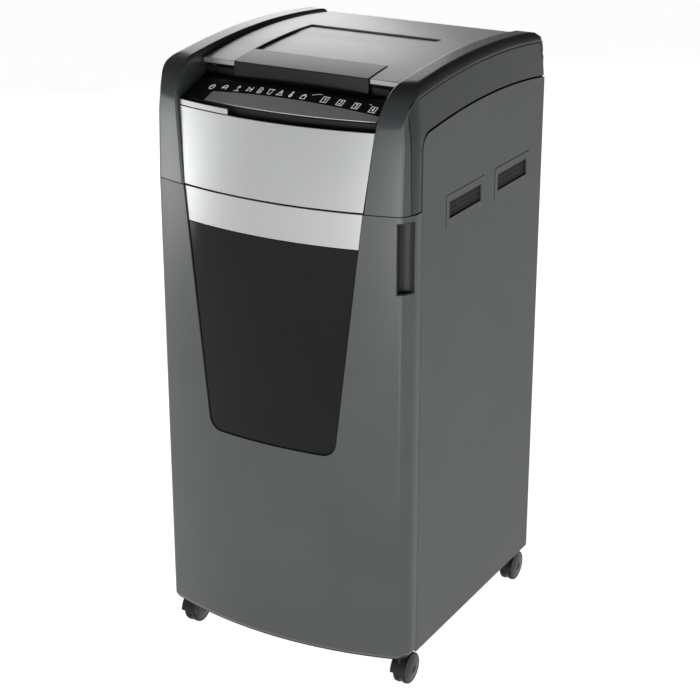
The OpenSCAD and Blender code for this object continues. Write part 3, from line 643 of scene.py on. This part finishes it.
def bow_sheet(name, zs, radius, half_width, t, cols, material, right=math.inf):
    """A sheet on the bow: radius and half-width by height, thickened towards the inside."""
    rows = [bow_row(z, radius(z), -half_width(z), min(half_width(z), right), cols) for z in zs]
    return bow_shell(name, rows, t, material)


def face_r(z):
    return FACE_R


def glass_edge(z):
    return corner_edge(z, WINDOW_LOW, GLASS_CORNER, EDGE_GAP)


glass_zs = [WINDOW_LOW + GLASS_CORNER * (1 - math.cos(math.radians(a))) for a in GLASS_ANGLES]
glass_zs += lerp(glass_zs[-1], STRIP_Z - 0.6, 14)[1:]
window = bow_sheet("window", glass_zs, face_r, glass_edge, GLASS_T, 48, WINDOW)
finish_piece(window, "drawer", "door_window", slot="gloss_black", width=0.5, angle=60)
strip_zs = lerp(STRIP_Z + 0.2, DOOR_TOP, 6)
strip = bow_sheet("door_trim", strip_zs, face_r, set_in, GLASS_T, 48, SILVER)
finish_piece(strip, "drawer", "door_strip", slot="silver_plastic",
             width=0.7, segments=3, angle=60)
for side, name in ((-1, "window_frame_left"), (1, "window_frame_right")):
    rows = []
    for z in lerp(WINDOW_Z - 10, DOOR_TOP - 3.5, 16):
        edge = window_edge(max(z, WINDOW_Z + WINDOW_CORNER))
        rows.append(bow_row(z, FRAME_R, side * (edge - FRAME_LAP), side * (edge + FRAME_LAP), 3))
    rail = bow_shell(name, rows, FRAME_T, DARK)
    finish_piece(rail, "drawer", slot="side_plastic", width=0.4, angle=60)
rows = [bow_row(z, FRAME_R, -SILL_HALF, SILL_HALF, 24) for z in (WINDOW_Z - 10, WINDOW_Z + 8)]
sill = bow_shell("window_frame_sill", rows, FRAME_T, DARK)
finish_piece(sill, "drawer", slot="side_plastic", width=0.4, angle=60)

# ---- cheeks ---------------------------------------------------------------------------------
FRONT_TOP_R = 60.0
SIDE_TOP_R, REAR_TOP_R, INNER_EDGE_R = 15.0, 16.0, 4.5
SIDE_LEAN = 6.0                         # from the side panel's arch to the crease
PILLAR_TILT = 0.042
CREASE_CORNER, PANEL_CORNER = 28.0, 25.0
BAND_GAP = 2.6                          # groove along the crease
BAND_STEP = 0.9                         # how far the band lies below the cheek
# depth below the cheek and thickness of the black strip in each groove: painted shade of the groove
PAINTED_SHADE_DEPTH, PAINTED_SHADE_T = 0.5, 2.0
SPINE_X, SPINE_Y, SPINE_R = 213.0, -168.0, 1630.0
SPINE_TURN_Z, SPINE_TURN_R = 975.0, 12.0
REAR_TURN_Y = Y_REAR - 46               # where the spine turns down to the rear edge
REAR_TURN_BACK, REAR_TURN_DROP, REAR_TURN_STEPS = 2.0, 14.0, 12
REACH = 160                             # from the spine, past the farthest point of the cheek
INNER_ANGLE, OUTER_ANGLE = math.pi, 0.15
FINE_POINTS, SKIN_POINTS = 420, 72
TURN_WEIGHT = 16.0                      # more points where the skin bends
SIDE_END, REAR_END = 3.6, 4             # how close to the flat side and to the rear a row ends


def lean(y, z):
    """How far the sides lean inwards above the side panels."""
    arch = np.hypot(y - ARCH_Y, z - ARCH_Z)
    return np.maximum(0.0, (arch - PANEL_ARCH_R) * SIDE_LEAN / (CREASE_R - PANEL_ARCH_R))


def tilt(z):
    """How far the pillars lean back above the seam."""
    return np.maximum(0.0, (z - SEAM_Z) * PILLAR_TILT)


def cheek(p):
    """Signed distance, roughly, to the right cheek's outer form."""
    x, y, z = p[..., 0], p[..., 1], p[..., 2]
    top = np.hypot(y - ARCH_Y, z - ARCH_Z) - ARCH_TOP_R
    y_front = y - tilt(z)
    side = plan_distance(x + lean(y, z), y_front)
    bow = np.hypot(x, y_front - BOW_Y) - BOW_R
    form = np.maximum(round_max(side, top, SIDE_TOP_R), round_max(bow, top, FRONT_TOP_R))
    form = np.maximum(form, round_max(y - Y_REAR, top, REAR_TOP_R))
    inner = (opening(z) - x) / FLARE_LENGTH
    return round_max(form, inner, INNER_EDGE_R)


def spine_path():
    """The middle line of a cheek in (y, z), with the outward direction at each point."""
    path = [((SPINE_Y, z), (-1.0, 0.0)) for z in lerp(SEAM_Z, SPINE_TURN_Z, 14, False)]
    y_join = SPINE_Y + SPINE_TURN_R
    z_join = float(on_arch(y_join, SPINE_R))
    a_join = math.atan2(z_join - ARCH_Z, y_join - ARCH_Y)
    for t in lerp(0, 1, 24):
        turn = math.pi / 2 * t
        a = math.pi + (a_join - math.pi) * t
        place = (SPINE_Y + SPINE_TURN_R * (1 - math.cos(turn)),
                 SPINE_TURN_Z + (z_join - SPINE_TURN_Z) * math.sin(turn))
        path.append((place, (math.cos(a), math.sin(a))))
    for y in lerp(y_join, REAR_TURN_Y, 44)[1:]:
        z = float(on_arch(y, SPINE_R))
        a = math.atan2(z - ARCH_Z, y - ARCH_Y)
        path.append(((y, z), (math.cos(a), math.sin(a))))
    (y1, z1), n1 = path[-1]
    a0 = math.atan2(n1[1], n1[0])
    for i in range(1, REAR_TURN_STEPS + 1):
        t = i / REAR_TURN_STEPS
        a = a0 * (1 - t)
        place = (y1 + REAR_TURN_BACK * t, z1 - REAR_TURN_DROP * t)
        path.append((place, (math.cos(a), math.sin(a))))
    (y1, z1), _ = path[-1]
    return path + [((y1, z), (1.0, 0.0)) for z in lerp(z1, SEAM_Z, 12)[1:]]


def crease_distance(p):
    """Below zero inside the side band's outline, with its rounded corner."""
    y, z = p[..., 1], p[..., 2]
    arch = np.hypot(y - ARCH_Y, z - ARCH_Z) - CREASE_R
    return round_max(Y_CREASE - y, arch, CREASE_CORNER)


def respaced(line):
    """The same line with its points spread by length and by how much it bends."""
    steps = np.diff(line, axis=0)
    length = np.linalg.norm(steps, axis=1)
    u = steps / np.maximum(length, 1e-9)[:, None]
    turn = np.zeros(len(length))
    turn[1:] = np.arccos(np.clip((u[1:] * u[:-1]).sum(1), -1, 1))
    weight = np.concatenate([[0], np.cumsum(length + TURN_WEIGHT * turn)])
    want = np.linspace(0, weight[-1], SKIN_POINTS)
    return np.stack([np.interp(want, weight, line[:, k]) for k in range(3)], 1)


def cheek_skin():
    """Rows round the cheek from its inner edge to the crease, or to the side below it."""
    path = spine_path()
    centre = np.array([(SPINE_X, *place) for place, _ in path])
    out = np.array([(0.0, *normal) for _, normal in path])
    phi = np.linspace(INNER_ANGLE, OUTER_ANGLE, FINE_POINTS)
    across = np.cos(phi)[None, :, None] * np.array([1.0, 0, 0])
    d = across + np.sin(phi)[None, :, None] * out[:, None, :]
    reach = solve(lambda m: cheek(centre[:, None, :] + d * m[..., None]), REACH, d.shape[:2])
    rows = []
    for line in centre[:, None, :] + d * reach[..., None]:
        crease = crease_distance(line)
        at_crease = (crease < 0) & (line[:, 1] < Y_REAR - REAR_END)
        at_side = line[:, 0] > HALF_W - SIDE_END
        end = int(np.argmax((at_crease | at_side) & (phi < math.pi / 2)))
        if at_crease[end] and crease[end - 1] > 0:
            w = crease[end - 1] / (crease[end - 1] - crease[end])
            line[end] = line[end - 1] + (line[end] - line[end - 1]) * w
        rows.append(respaced(line[:end + 1]))
    return np.array(rows)


def cheek_normal(p):
    """Outward direction of the cheek's form at each point."""
    probe = 0.02
    n = np.stack([cheek(p + probe * axis) - cheek(p - probe * axis) for axis in np.eye(3)], -1)
    return n / np.linalg.norm(n, axis=-1, keepdims=True)


skin = cheek_skin()
cap = shell("cheek_right", skin, skin - WALL * cheek_normal(skin), CHEEK)
cap_left = mirrored(cap, "cheek_left")
bolt_lo, bolt_hi = cad_box("lock_bolt")
BOLT_Y, BOLT_Z = (bolt_lo[1] + bolt_hi[1]) / 2, (bolt_lo[2] + bolt_hi[2]) / 2
BOLT_GAP = 0.6
BOLT_HOLE_XS = (-203.0, -174.0)         # through the left cheek's inner wall
bolt_hole = ring((bolt_hi[2] - bolt_lo[2]) / 2 + BOLT_GAP, cx=BOLT_Y, cy=BOLT_Z, n=32)[:-1]
cut(cap_left, prism("bolt_hole", bolt_hole, "x", *BOLT_HOLE_XS, DARK))
finish_piece(cap, "cabinet", "cheek_cap_right", slot="side_plastic", width=0.7, angle=60)
finish_piece(cap_left, "cabinet", "cheek_cap_left", slot="side_plastic", width=0.7, angle=60)

# ---- side bands, and black strips in the grooves above them: painted groove shade -----------
BAND_TURN, BAND_TURN_STEPS = 82, 10


def band_path(start_y, start_r, corner):
    """One edge of the side band in (y, z): up from the seam, round and back along the arch."""
    z_corner = float(on_arch(start_y + corner, start_r)) - corner
    path = [(start_y, z) for z in lerp(SEAM_Z + 0.2, z_corner, 12, False)]
    path += ring(corner, 180, 180 - BAND_TURN, start_y + corner, z_corner, BAND_TURN_STEPS)
    return path + [(y, float(on_arch(y, start_r))) for y in lerp(path[-1][0], Y_REAR, 40)[1:]]


def side_rows(outer, inner, steps):
    """Grid between two such edges, on the cheek's side."""
    t = np.linspace(0, 1, steps + 1)[:, None]
    rows = np.array([np.hstack([np.zeros((steps + 1, 1)), o + (i - o) * t])
                     for o, i in zip(np.array(outer), np.array(inner))])
    y, z = rows[..., 1], rows[..., 2]
    rows[..., 0] = solve(lambda x: plan_distance(x + lean(y, z), y - tilt(z)),
                         HALF_W + 1, y.shape)
    return rows


def crease_path(gap):
    return band_path(Y_CREASE + gap, CREASE_R - gap, CREASE_CORNER - gap)


def panel_path(gap):
    return band_path(Y_SEAM + 0.5 - gap, PANEL_ARCH_R + gap, PANEL_CORNER + gap)


def inwards(points, t):
    return points - np.array([t, 0, 0])


# A black strip just below the surface in each groove stands in for the groove's shadow: painted
# shade.
painted_groove_shade_skin = inwards(side_rows(crease_path(0.1), crease_path(BAND_GAP - 0.1), 3), PAINTED_SHADE_DEPTH)
painted_groove_shade = shell("crease_painted_shade_right", painted_groove_shade_skin, inwards(painted_groove_shade_skin, PAINTED_SHADE_T), TYRE_AND_GROOVE_SHADE)
painted_groove_shade_left = mirrored(painted_groove_shade, "crease_painted_shade_left")
finish_piece(painted_groove_shade, "cabinet", slot="side_plastic", width=0.15, angle=60)
finish_piece(painted_groove_shade_left, "cabinet", slot="side_plastic", width=0.15, angle=60)
band_skin = inwards(side_rows(crease_path(BAND_GAP), panel_path(BAND_GAP), 16), BAND_STEP)
band = shell("side_band_right", band_skin, inwards(band_skin, WALL - BAND_STEP), BAND)
band_left = mirrored(band, "side_band_left")
finish_piece(band, "cabinet", "cheek_band_right", slot="side_plastic", width=0.7, angle=60)
finish_piece(band_left, "cabinet", "cheek_band_left", slot="side_plastic", width=0.7, angle=60)

# ---- fascia ---------------------------------------------------------------------------------
FASCIA_TILT, FASCIA_T = 9.0, 2.5
LEDGE_X = -76.0                         # the raised ledge ends here, left of the middle
LEDGE_SET_BACK, LEDGE_TILT = 0.4, 0.9


def fascia_r(z):
    return FACE_R - FASCIA_TILT * (z - SEAM_Z) / (FASCIA_Z - SEAM_Z)


def ledge_r(z):
    rise = (z - FASCIA_Z) / (LEDGE_Z - FASCIA_Z)
    return fascia_r(FASCIA_Z) - LEDGE_SET_BACK - LEDGE_TILT * rise


fascia_zs = lerp(SEAM_Z + 1.0, FASCIA_Z, 10)
fascia = bow_sheet("fascia", fascia_zs, fascia_r, set_in, FASCIA_T, 56, SILVER)
finish_piece(fascia, "cabinet", "fascia", slot="silver_plastic",
             width=0.7, segments=3, angle=60)
ledge_zs = lerp(FASCIA_Z + 1.0, LEDGE_Z, 4)
ledge = bow_sheet("fascia_ledge", ledge_zs, ledge_r, set_in, FASCIA_T, 24, SILVER, LEDGE_X)
finish_piece(ledge, "cabinet", slot="silver_plastic", width=0.6, segments=3, angle=60)

# ---- control area ---------------------------------------------------------------------------
BACK_Z = PANEL_Z + (PANEL_R - PANEL_BACK_R) * SLOPE
HOUSING_LOW, HOUSING_BACK_R = 972.0, 560.0
HOUSING_T = 2.5
EDGE_ANGLES = (20, 45, 70)              # round the housing's front edge
EDGE_R = 3.0
PLATE_LIFT, PLATE_T = 1.2, 1.1
APRON_LEFT, APRON_RIGHT = -135.0, 173.5
STRIP_Y = Y_REAR - 468.0


def surface_z(r):
    """Height of the control surface at a distance r from the bow's axis."""
    return PANEL_Z + max(0.0, min(PANEL_R - r, PANEL_R - PANEL_BACK_R)) * SLOPE


def surface_at(x, y, lift):
    return (x, y, surface_z(math.hypot(x, BOW_Y - y)) + lift)


def housing_grid(line):
    """The housing's section, as (radius, height) points, drawn out along the bow."""
    return np.array([bow_row(z, r, 0.8 - opening(z), opening(z) - 0.8, 56) for r, z in line])


top = [(PANEL_R, HOUSING_LOW), (PANEL_R, PANEL_Z - 3)]
top += [(PANEL_R - EDGE_R + r, PANEL_Z - 2.2 + z)
        for r, z in (polar(EDGE_R, a) for a in EDGE_ANGLES)]
top += [(PANEL_R - 4, surface_z(PANEL_R - 4)), (PANEL_BACK_R, BACK_Z), (HOUSING_BACK_R, BACK_Z)]
below = (PANEL_R - HOUSING_T, PANEL_Z - 4)
corner = (PANEL_R - 4.0, PANEL_Z - 3.4)
behind = (PANEL_R - 5, surface_z(PANEL_R - 5) - 2.7)
# three points at the inner corner, as many as on the rounded edge above it
under = [(PANEL_R - HOUSING_T, HOUSING_LOW), below, corner, corner, corner, behind,
         (PANEL_BACK_R - 1, BACK_Z - HOUSING_T), (HOUSING_BACK_R, BACK_Z - HOUSING_T)]
housing = shell("control_body", housing_grid(top), housing_grid(under), DARK)
finish_piece(housing, "cabinet", "control_housing", slot="dark_plastic", width=0.3, angle=60)
RISER_HALF, RISER_TOP = 181, 1033
riser = box("lid_rest_wall", (-RISER_HALF, LID_FRONT + 6, BACK_Z - 2),
            (RISER_HALF, LID_FRONT + 9, RISER_TOP), DARK)
finish_piece(riser, "cabinet", slot="dark_plastic", width=0.5)
REST_XS = (127.5, 160)
REST_YS = (LID_FRONT + 3.5, LID_FRONT + 7)
REST_ZS = (BACK_Z + 1, RISER_TOP - 1)
rests = [side_box("rest", side, REST_XS, REST_YS, REST_ZS, POCKET) for side in (-1, 1)]
finish_piece(join(rests, "lid_rests"), "cabinet", slot="dark_plastic", width=1.0, segments=3)


def slope_plate(name, cells, material, slot):
    """A thin plate on the control surface; a cell is a column's x, front y and rear y."""
    pts = np.array([[surface_at(x, y, PLATE_LIFT) for y in lerp(front, rear, 6)]
                    for x, front, rear in cells])
    obj = shell(name, pts, pts - np.array([0, 0, PLATE_T]), material)
    return finish_piece(obj, "cabinet", slot=slot, width=0.25, angle=60)


def front_y(x):
    """Front edge of the plates on the control surface."""
    return bow_y(x, PANEL_R - 1.2)


cells = [(x, front_y(x), STRIP_Y - 0.15) for x in lerp(APRON_LEFT + 0.3, APRON_RIGHT, 44)
         if front_y(x) < STRIP_Y - 2]
apron = slope_plate("feed_apron_plate", cells, APRON, "apron_plastic")
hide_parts("feed_apron")
cells = []
for x in lerp(2 - opening(PANEL_Z), APRON_RIGHT + 6, 60):
    front = max(STRIP_Y + 0.15, front_y(x)) if x > APRON_LEFT else front_y(x)
    cells.append((x, front, bow_y(x, PANEL_BACK_R + 2)))
strip_plate = slope_plate("icon_strip", cells, GLOSS, "gloss_black")
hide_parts("control_strip")

# ---- icons on the strip: each is its x and its lines, in a box from -1 to 1 -----------------
ICON_Y, ICON_W, ICON_H = Y_REAR - 456.0, 5.0, 7.0
INK_LOW, INK_HIGH = 1.0, 1.32           # above the control surface
STROKE, THIN_STROKE = 1.1, 0.8
FRAME_BOX = [(-1, -1), (1, -1), (1, 1), (-1, 1), (-1, -1)]
SHEET = [(-0.6, -1), (0.6, -1), (0.6, 0.5), (0.1, 1), (-0.6, 1), (-0.6, -1)]
ONE = [(-0.15, 0.35), (0.1, 0.6), (0.1, -0.6)]
TWO = [(-0.3, 0.5), (0.3, 0.5), (0.3, 0), (-0.3, -0.55), (0.35, -0.55)]
THREE = [(-0.3, 0.55), (0.3, 0.55), (0, 0.05), (0.3, -0.2), (0.2, -0.55), (-0.3, -0.55)]
FOUR = [(0.15, -0.6), (0.15, 0.6), (-0.35, -0.15), (0.4, -0.15)]
ICONS = [
    (-143, [ring(0.85, 120, 420), [(0, 0.1), (0, 1.0)]]),
    (-118, [ring(0.8, -60, 200), [(-1.1, -0.1), (-0.75, -0.45), (-0.4, 0)],
            [(-0.3, 0), (0.3, 0)]]),
    (-93, [[(0, -0.9), (0, 0.9)], [(-0.5, 0.3), (0, 0.9), (0.5, 0.3)], [(-0.8, -1), (0.8, -1)]]),
    (-71, [[(-0.8, 0.7), (0.7, 0), (-0.8, -0.7), (-0.8, 0.7)], [(0.9, 0.8), (0.9, -0.8)]]),
    (-51, [SHEET, [(-0.3, 0.1), (0.3, 0.1)], [(-0.3, -0.4), (0.3, -0.4)]]),
    (-32, [[(-0.8, 0.8), (-0.5, -1), (0.5, -1), (0.8, 0.8)], [(-1, 0.8), (1, 0.8)]]),
    (-13, [[(-1, -0.9), (0, 0.9), (1, -0.9), (-1, -0.9)], [(0, -0.4), (0, 0.3)]]),
    (7, [ring(0.4, 0, 360, 0, -0.6), [(-0.2, -0.3), (-0.2, 0.9), (0.2, 0.9), (0.2, -0.3)]]),
    (30, [[(-0.8, -1), (0.8, -1), (0.8, 0.1), (-0.8, 0.1), (-0.8, -1)],
          ring(0.5, 0, 180, 0, 0.1, 8)]),
    (68, [FRAME_BOX, ONE]),
    (96, [FRAME_BOX, TWO]),
    (124, [FRAME_BOX, THREE]),
    (154, [FRAME_BOX, FOUR]),
]
ICON_RULE = [(42, ICON_Y + 6), (52, ICON_Y + 10.5), (146, ICON_Y + 10.5)]


def stroke(points, width):
    """Thin raised bars along a line of (x, y) points on the sloping strip."""
    bars = []
    for (x0, y0), (x1, y1) in zip(points, points[1:]):
        length = math.hypot(x1 - x0, y1 - y0)
        if length < 0.05:
            continue
        u, v = (x1 - x0) / length * width / 2, (y1 - y0) / length * width / 2
        corners = [(x0 - u - v, y0 - v + u), (x0 - u + v, y0 - v - u),
                   (x1 + u + v, y1 + v - u), (x1 + u - v, y1 + v + u)]
        pts = [surface_at(x, y, lift) for lift in (INK_LOW, INK_HIGH) for x, y in corners]
        faces = [(3, 2, 1, 0), (4, 5, 6, 7), (0, 1, 5, 4), (1, 2, 6, 5), (2, 3, 7, 6), (3, 0, 4, 7)]
        bars.append(mesh_object("bar", pts, faces, GLOWING_INK))
    return bars


bars = []
for x, lines in ICONS:
    for line in lines:
        bars += stroke([(x + u * ICON_W, ICON_Y + v * ICON_H) for u, v in line], STROKE)
bars += stroke(ICON_RULE, THIN_STROKE)
finish_piece(outward(join(bars, "icons")), "cabinet", slot="gloss_black")

# ---- lid ------------------------------------------------------------------------------------
LID_T = 3.0
LID_LOW, LIP_LOW = 1037.5, 1021.5       # lower ends of their front edges
LIP_PROUD = 2.5
INSET_FRONT = LIP_BACK + 0.5
INSET_GAP = 0.8
NOTCH_ZS = (1000, 1100)                 # below and above all of the lid
STEP_Y, STEP_REAR = Y_REAR - 235.0, Y_REAR - 207.0
INSET_STEP_DEPTH, INSET_DEPTH, INSET_BOTTOM = 4.4, 3.2, 6.0


def lid_line(r, y0, y1, n=24):
    """Points along an arch of the lid, in (y, z)."""
    return [(y, float(on_lid(y, r))) for y in lerp(y0, y1, n)]


outline = lid_line(LID_R, LID_FRONT, Y_REAR) + lid_line(LID_R - LID_T, Y_REAR, LID_FRONT + LID_T)
outline += [(LID_FRONT + LID_T, LID_LOW), (LID_FRONT, LID_LOW)]
lid = prism("lid", outline, "x", -LID_HALF, LID_HALF, LID_SILVER)
notch_half, notch_rear = INSET_X + INSET_GAP, INSET_Y + INSET_GAP
notch = box("notch", (-notch_half, LID_FRONT - 5, NOTCH_ZS[0]),
            (notch_half, notch_rear, NOTCH_ZS[1]), LID_SILVER)
cut(lid, notch)
finish_piece(lid, "lid", "lid_panel", slot="silver_plastic", width=0.8, segments=3, sharp=30)
lip_front = LID_FRONT - LIP_PROUD
outline = lid_line(LID_R + 1, lip_front, LIP_BACK)
outline += lid_line(LID_R - LID_T, LIP_BACK, LID_FRONT + LID_T)
outline += [(LID_FRONT + LID_T, LIP_LOW), (lip_front, LIP_LOW)]
lip = prism("lid_lip_bar", outline, "x", -INSET_X, INSET_X, LIP)
lip.data.materials.append(GLOSS)
for face in lip.data.polygons:
    face.material_index = 0 if face.normal.z > 0.5 else 1
finish_piece(lip, "lid", "lid_lip", slot="gloss_black", width=1.0, segments=3)
outline = lid_line(LID_R - INSET_STEP_DEPTH, INSET_FRONT, STEP_Y)
outline += lid_line(LID_R - INSET_DEPTH, STEP_REAR, INSET_Y, 8)
outline += lid_line(LID_R - INSET_BOTTOM, INSET_Y, INSET_FRONT)
inset = prism("lid_recess", outline, "x", -INSET_X, INSET_X, LID_SILVER)
finish_piece(inset, "lid", "lid_inset", slot="silver_plastic", width=0.5)

# ---- castor wheels --------------------------------------------------------------------------
WHEEL_R, TREAD_R = 28.0, 25.0
WHEEL_X, WHEEL_TRAIL = 216.0, 20.0
WHEELS = (("fl", -1, -461), ("fr", 1, -461), ("rl", -1, -33), ("rr", 1, -33))
# radius and distance from the fork's middle: bore, tread, groove, dished face
WHEEL_PROFILE = [(3.7, 3.2), (26.4, 3.2), (27.4, 3.7), (28.0, 4.8), (28.0, 9.2), (27.5, 10.7),
                 (26.4, 11.7), (25.2, 12.1), (24.6, 11.9), (24.2, 11.4), (23.4, 11.4),
                 (22.4, 12.0), (19.0, 13.1), (14.0, 14.0), (9.0, 14.5), (8.2, 14.6),
                 (7.6, 14.3), (7.0, 13.6), (3.7, 13.6)]
for name, side, stem_y in WHEELS:
    centre = (side * WHEEL_X, Y_REAR + stem_y + WHEEL_TRAIL, WHEEL_R)
    pair = [lathe("wheel", [(r, t * s) for r, t in WHEEL_PROFILE], centre, WHEEL)
            for s in (-1, 1)]
    wheels = join(pair, "wheels_" + name)
    wheels.data.materials.append(TYRE_AND_GROOVE_SHADE)
    for face in wheels.data.polygons:
        dy, dz = face.center.y / MM - centre[1], face.center.z / MM - centre[2]
        if math.hypot(dy, dz) > TREAD_R:
            face.material_index = 1
    finish_piece(wheels, "wheels_" + name, "castor_wheels_" + name,
                 slot="wheel_plastic", sharp=40)

# ---- grilles behind the side vents ----------------------------------------------------------
VENTS = [(-357, -241), (-178, -63)]
VENT_Z0, VENT_Z1 = 819.0, 847.5
GRILLE_BACK_XS, SLAT_XS, BAR_XS = (234.0, 235.0), (234.9, 236.9), (234.9, 236.7)
SLAT_HALF_T, BAR_T = 0.6, 1.2
slats = []
for side in (-1, 1):
    for vent in VENTS:
        y0, y1 = Y_REAR + vent[0], Y_REAR + vent[1]
        slats.append(side_box("back", side, GRILLE_BACK_XS, (y0 - 3, y1 + 3),
                              (VENT_Z0 - 3, VENT_Z1 + 3), DARK))
        for y in lerp(y0 + 1.5, y1 - 1.5, 34):
            slats.append(side_box("slat", side, SLAT_XS, (y - SLAT_HALF_T, y + SLAT_HALF_T),
                                  (VENT_Z0 - 2, VENT_Z1 + 2), DARK))
        for z in lerp(VENT_Z0 + 2, VENT_Z1 - 2 - BAR_T, 3):
            slats.append(side_box("bar", side, BAR_XS, (y0, y1), (z, z + BAR_T), DARK))
finish_piece(join(slats, "grilles"), "cabinet", "vent_grilles", slot="dark_plastic", sharp=30)

# ---- CAD nodes that keep their own shape ----------------------------------------------------
NODE_LOOKS = {
    BODY: ["rear_panel"],
    PANEL: ["side_panel_left", "side_panel_right"],
    DARK: ["base_tray", "slot_chute", "paper_tray", "waste_bin", "lid_liner", "pressure_plate",
           "power_inlet", "switch_bezel", "fan_frame", "fan_rotor", "rocker_switch",
           "interlock_switch",
           "castor_fork_fl", "castor_fork_fr", "castor_fork_rl", "castor_fork_rr"],
    STEEL: ["cutter_deck", "end_plate_left", "end_plate_right", "tie_bars", "stripper_combs",
            "bin_rails", "bin_runners", "hinge_blocks", "cabinet_screws", "lock_bolt",
            "lid_catches"],
    HARD_STEEL: ["cutter_shaft_front", "cutter_shaft_rear", "motor_pinion"],
    BRONZE: ["bearings"],
    MOTOR: ["motor", "lock_solenoid"],
    BOARD: ["circuit_board"],
    RUBBER: ["feed_roller_front", "feed_roller_rear"],
    NYLON: ["idler_gear"],
}
SHARP_NODES = ["cutter_shaft_front", "cutter_shaft_rear", "feed_roller_front",
               "feed_roller_rear", "motor_pinion", "idler_gear", "circuit_board", "bearings",
               "fan_rotor", "stripper_combs", "cabinet_screws"]
for material, names in NODE_LOOKS.items():
    for name in names:
        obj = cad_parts[name]
        obj.data.materials.clear()
        obj.data.materials.append(material)
        smooth(obj, 30)
        if name not in SHARP_NODES:
            add_bevel(obj, 0.5, 2)

# ---- floor and lights -----------------------------------------------------------------------
FLOOR_HALF = 30000
floor_mat, nt, bsdf = new_material("floor_white")
drift = noise(nt, scale=2.0, detail=2.0)
tone = mix_colours(nt, drift, (0.90, 0.90, 0.90), (0.92, 0.92, 0.92))
nt.links.new(tone, bsdf.inputs["Base Color"])
set_sockets(bsdf, Roughness=0.9, Specular_IOR_Level=0.1)
glow(bsdf, 0.93)
floor_points = [(-FLOOR_HALF, -FLOOR_HALF, 0), (FLOOR_HALF, -FLOOR_HALF, 0),
                (FLOOR_HALF, FLOOR_HALF, 0), (-FLOOR_HALF, FLOOR_HALF, 0)]
floor = mesh_object("floor", floor_points, [(0, 1, 2, 3)], floor_mat)


def area_light(name, place, target, size, power):
    """A soft light that the camera does not see."""
    data = bpy.data.lights.new(name, "AREA")
    data.shape = "RECTANGLE"
    data.size, data.size_y = size
    data.energy = power
    obj = bpy.data.objects.new(name, data)
    obj.location = place
    aim = Vector(target) - Vector(place)
    obj.rotation_euler = aim.to_track_quat("-Z", "Y").to_euler()
    obj.visible_camera = False
    bpy.context.scene.collection.objects.link(obj)


# name, place and target in metres, width and height, watts
LIGHTS = [
    ("back_left", (-2.6, 2.5, 1.98), (0, 0, 1.0), (2.6, 1.8), 40),
    ("back", (-1.6, 3.2, 1.9), (0, 0, 1.06), (1.2, 1.0), 1.2),
    ("left_top", (-1.5, -1.7, 1.35), (-0.25, -0.2, 0.95), (0.6, 0.7), 4),
    ("left_low", (-2.4, -1.2, 0.5), (-0.24, -0.2, 0.5), (0.6, 0.8), 1.2),
    ("pillar_left", (-1.33, -0.72, 0.57), (-0.24, -0.2, 1.0), (0.4, 0.4), 3.2),
    ("front_low", (0, -3.0, 0.35), (0, 0, 0.4), (3.0, 0.4), 5),
    ("front_corner", (0.48, -1.03, 0.65), (0.2, -0.24, 0.97), (0.3, 0.4), 2.6),
    ("corner_strip", (1.35, -1.25, 0.4), (0.22, -0.23, 0.85), (0.12, 1.1), 8),
]
for light in LIGHTS:
    area_light(*light)
world = bpy.data.worlds.new("studio")
bpy.context.scene.world = world
world.use_nodes = True
set_sockets(world.node_tree.nodes["Background"], Color=(1, 1, 1, 1), Strength=0.05)
bpy.context.scene.view_settings.view_transform = "Standard"
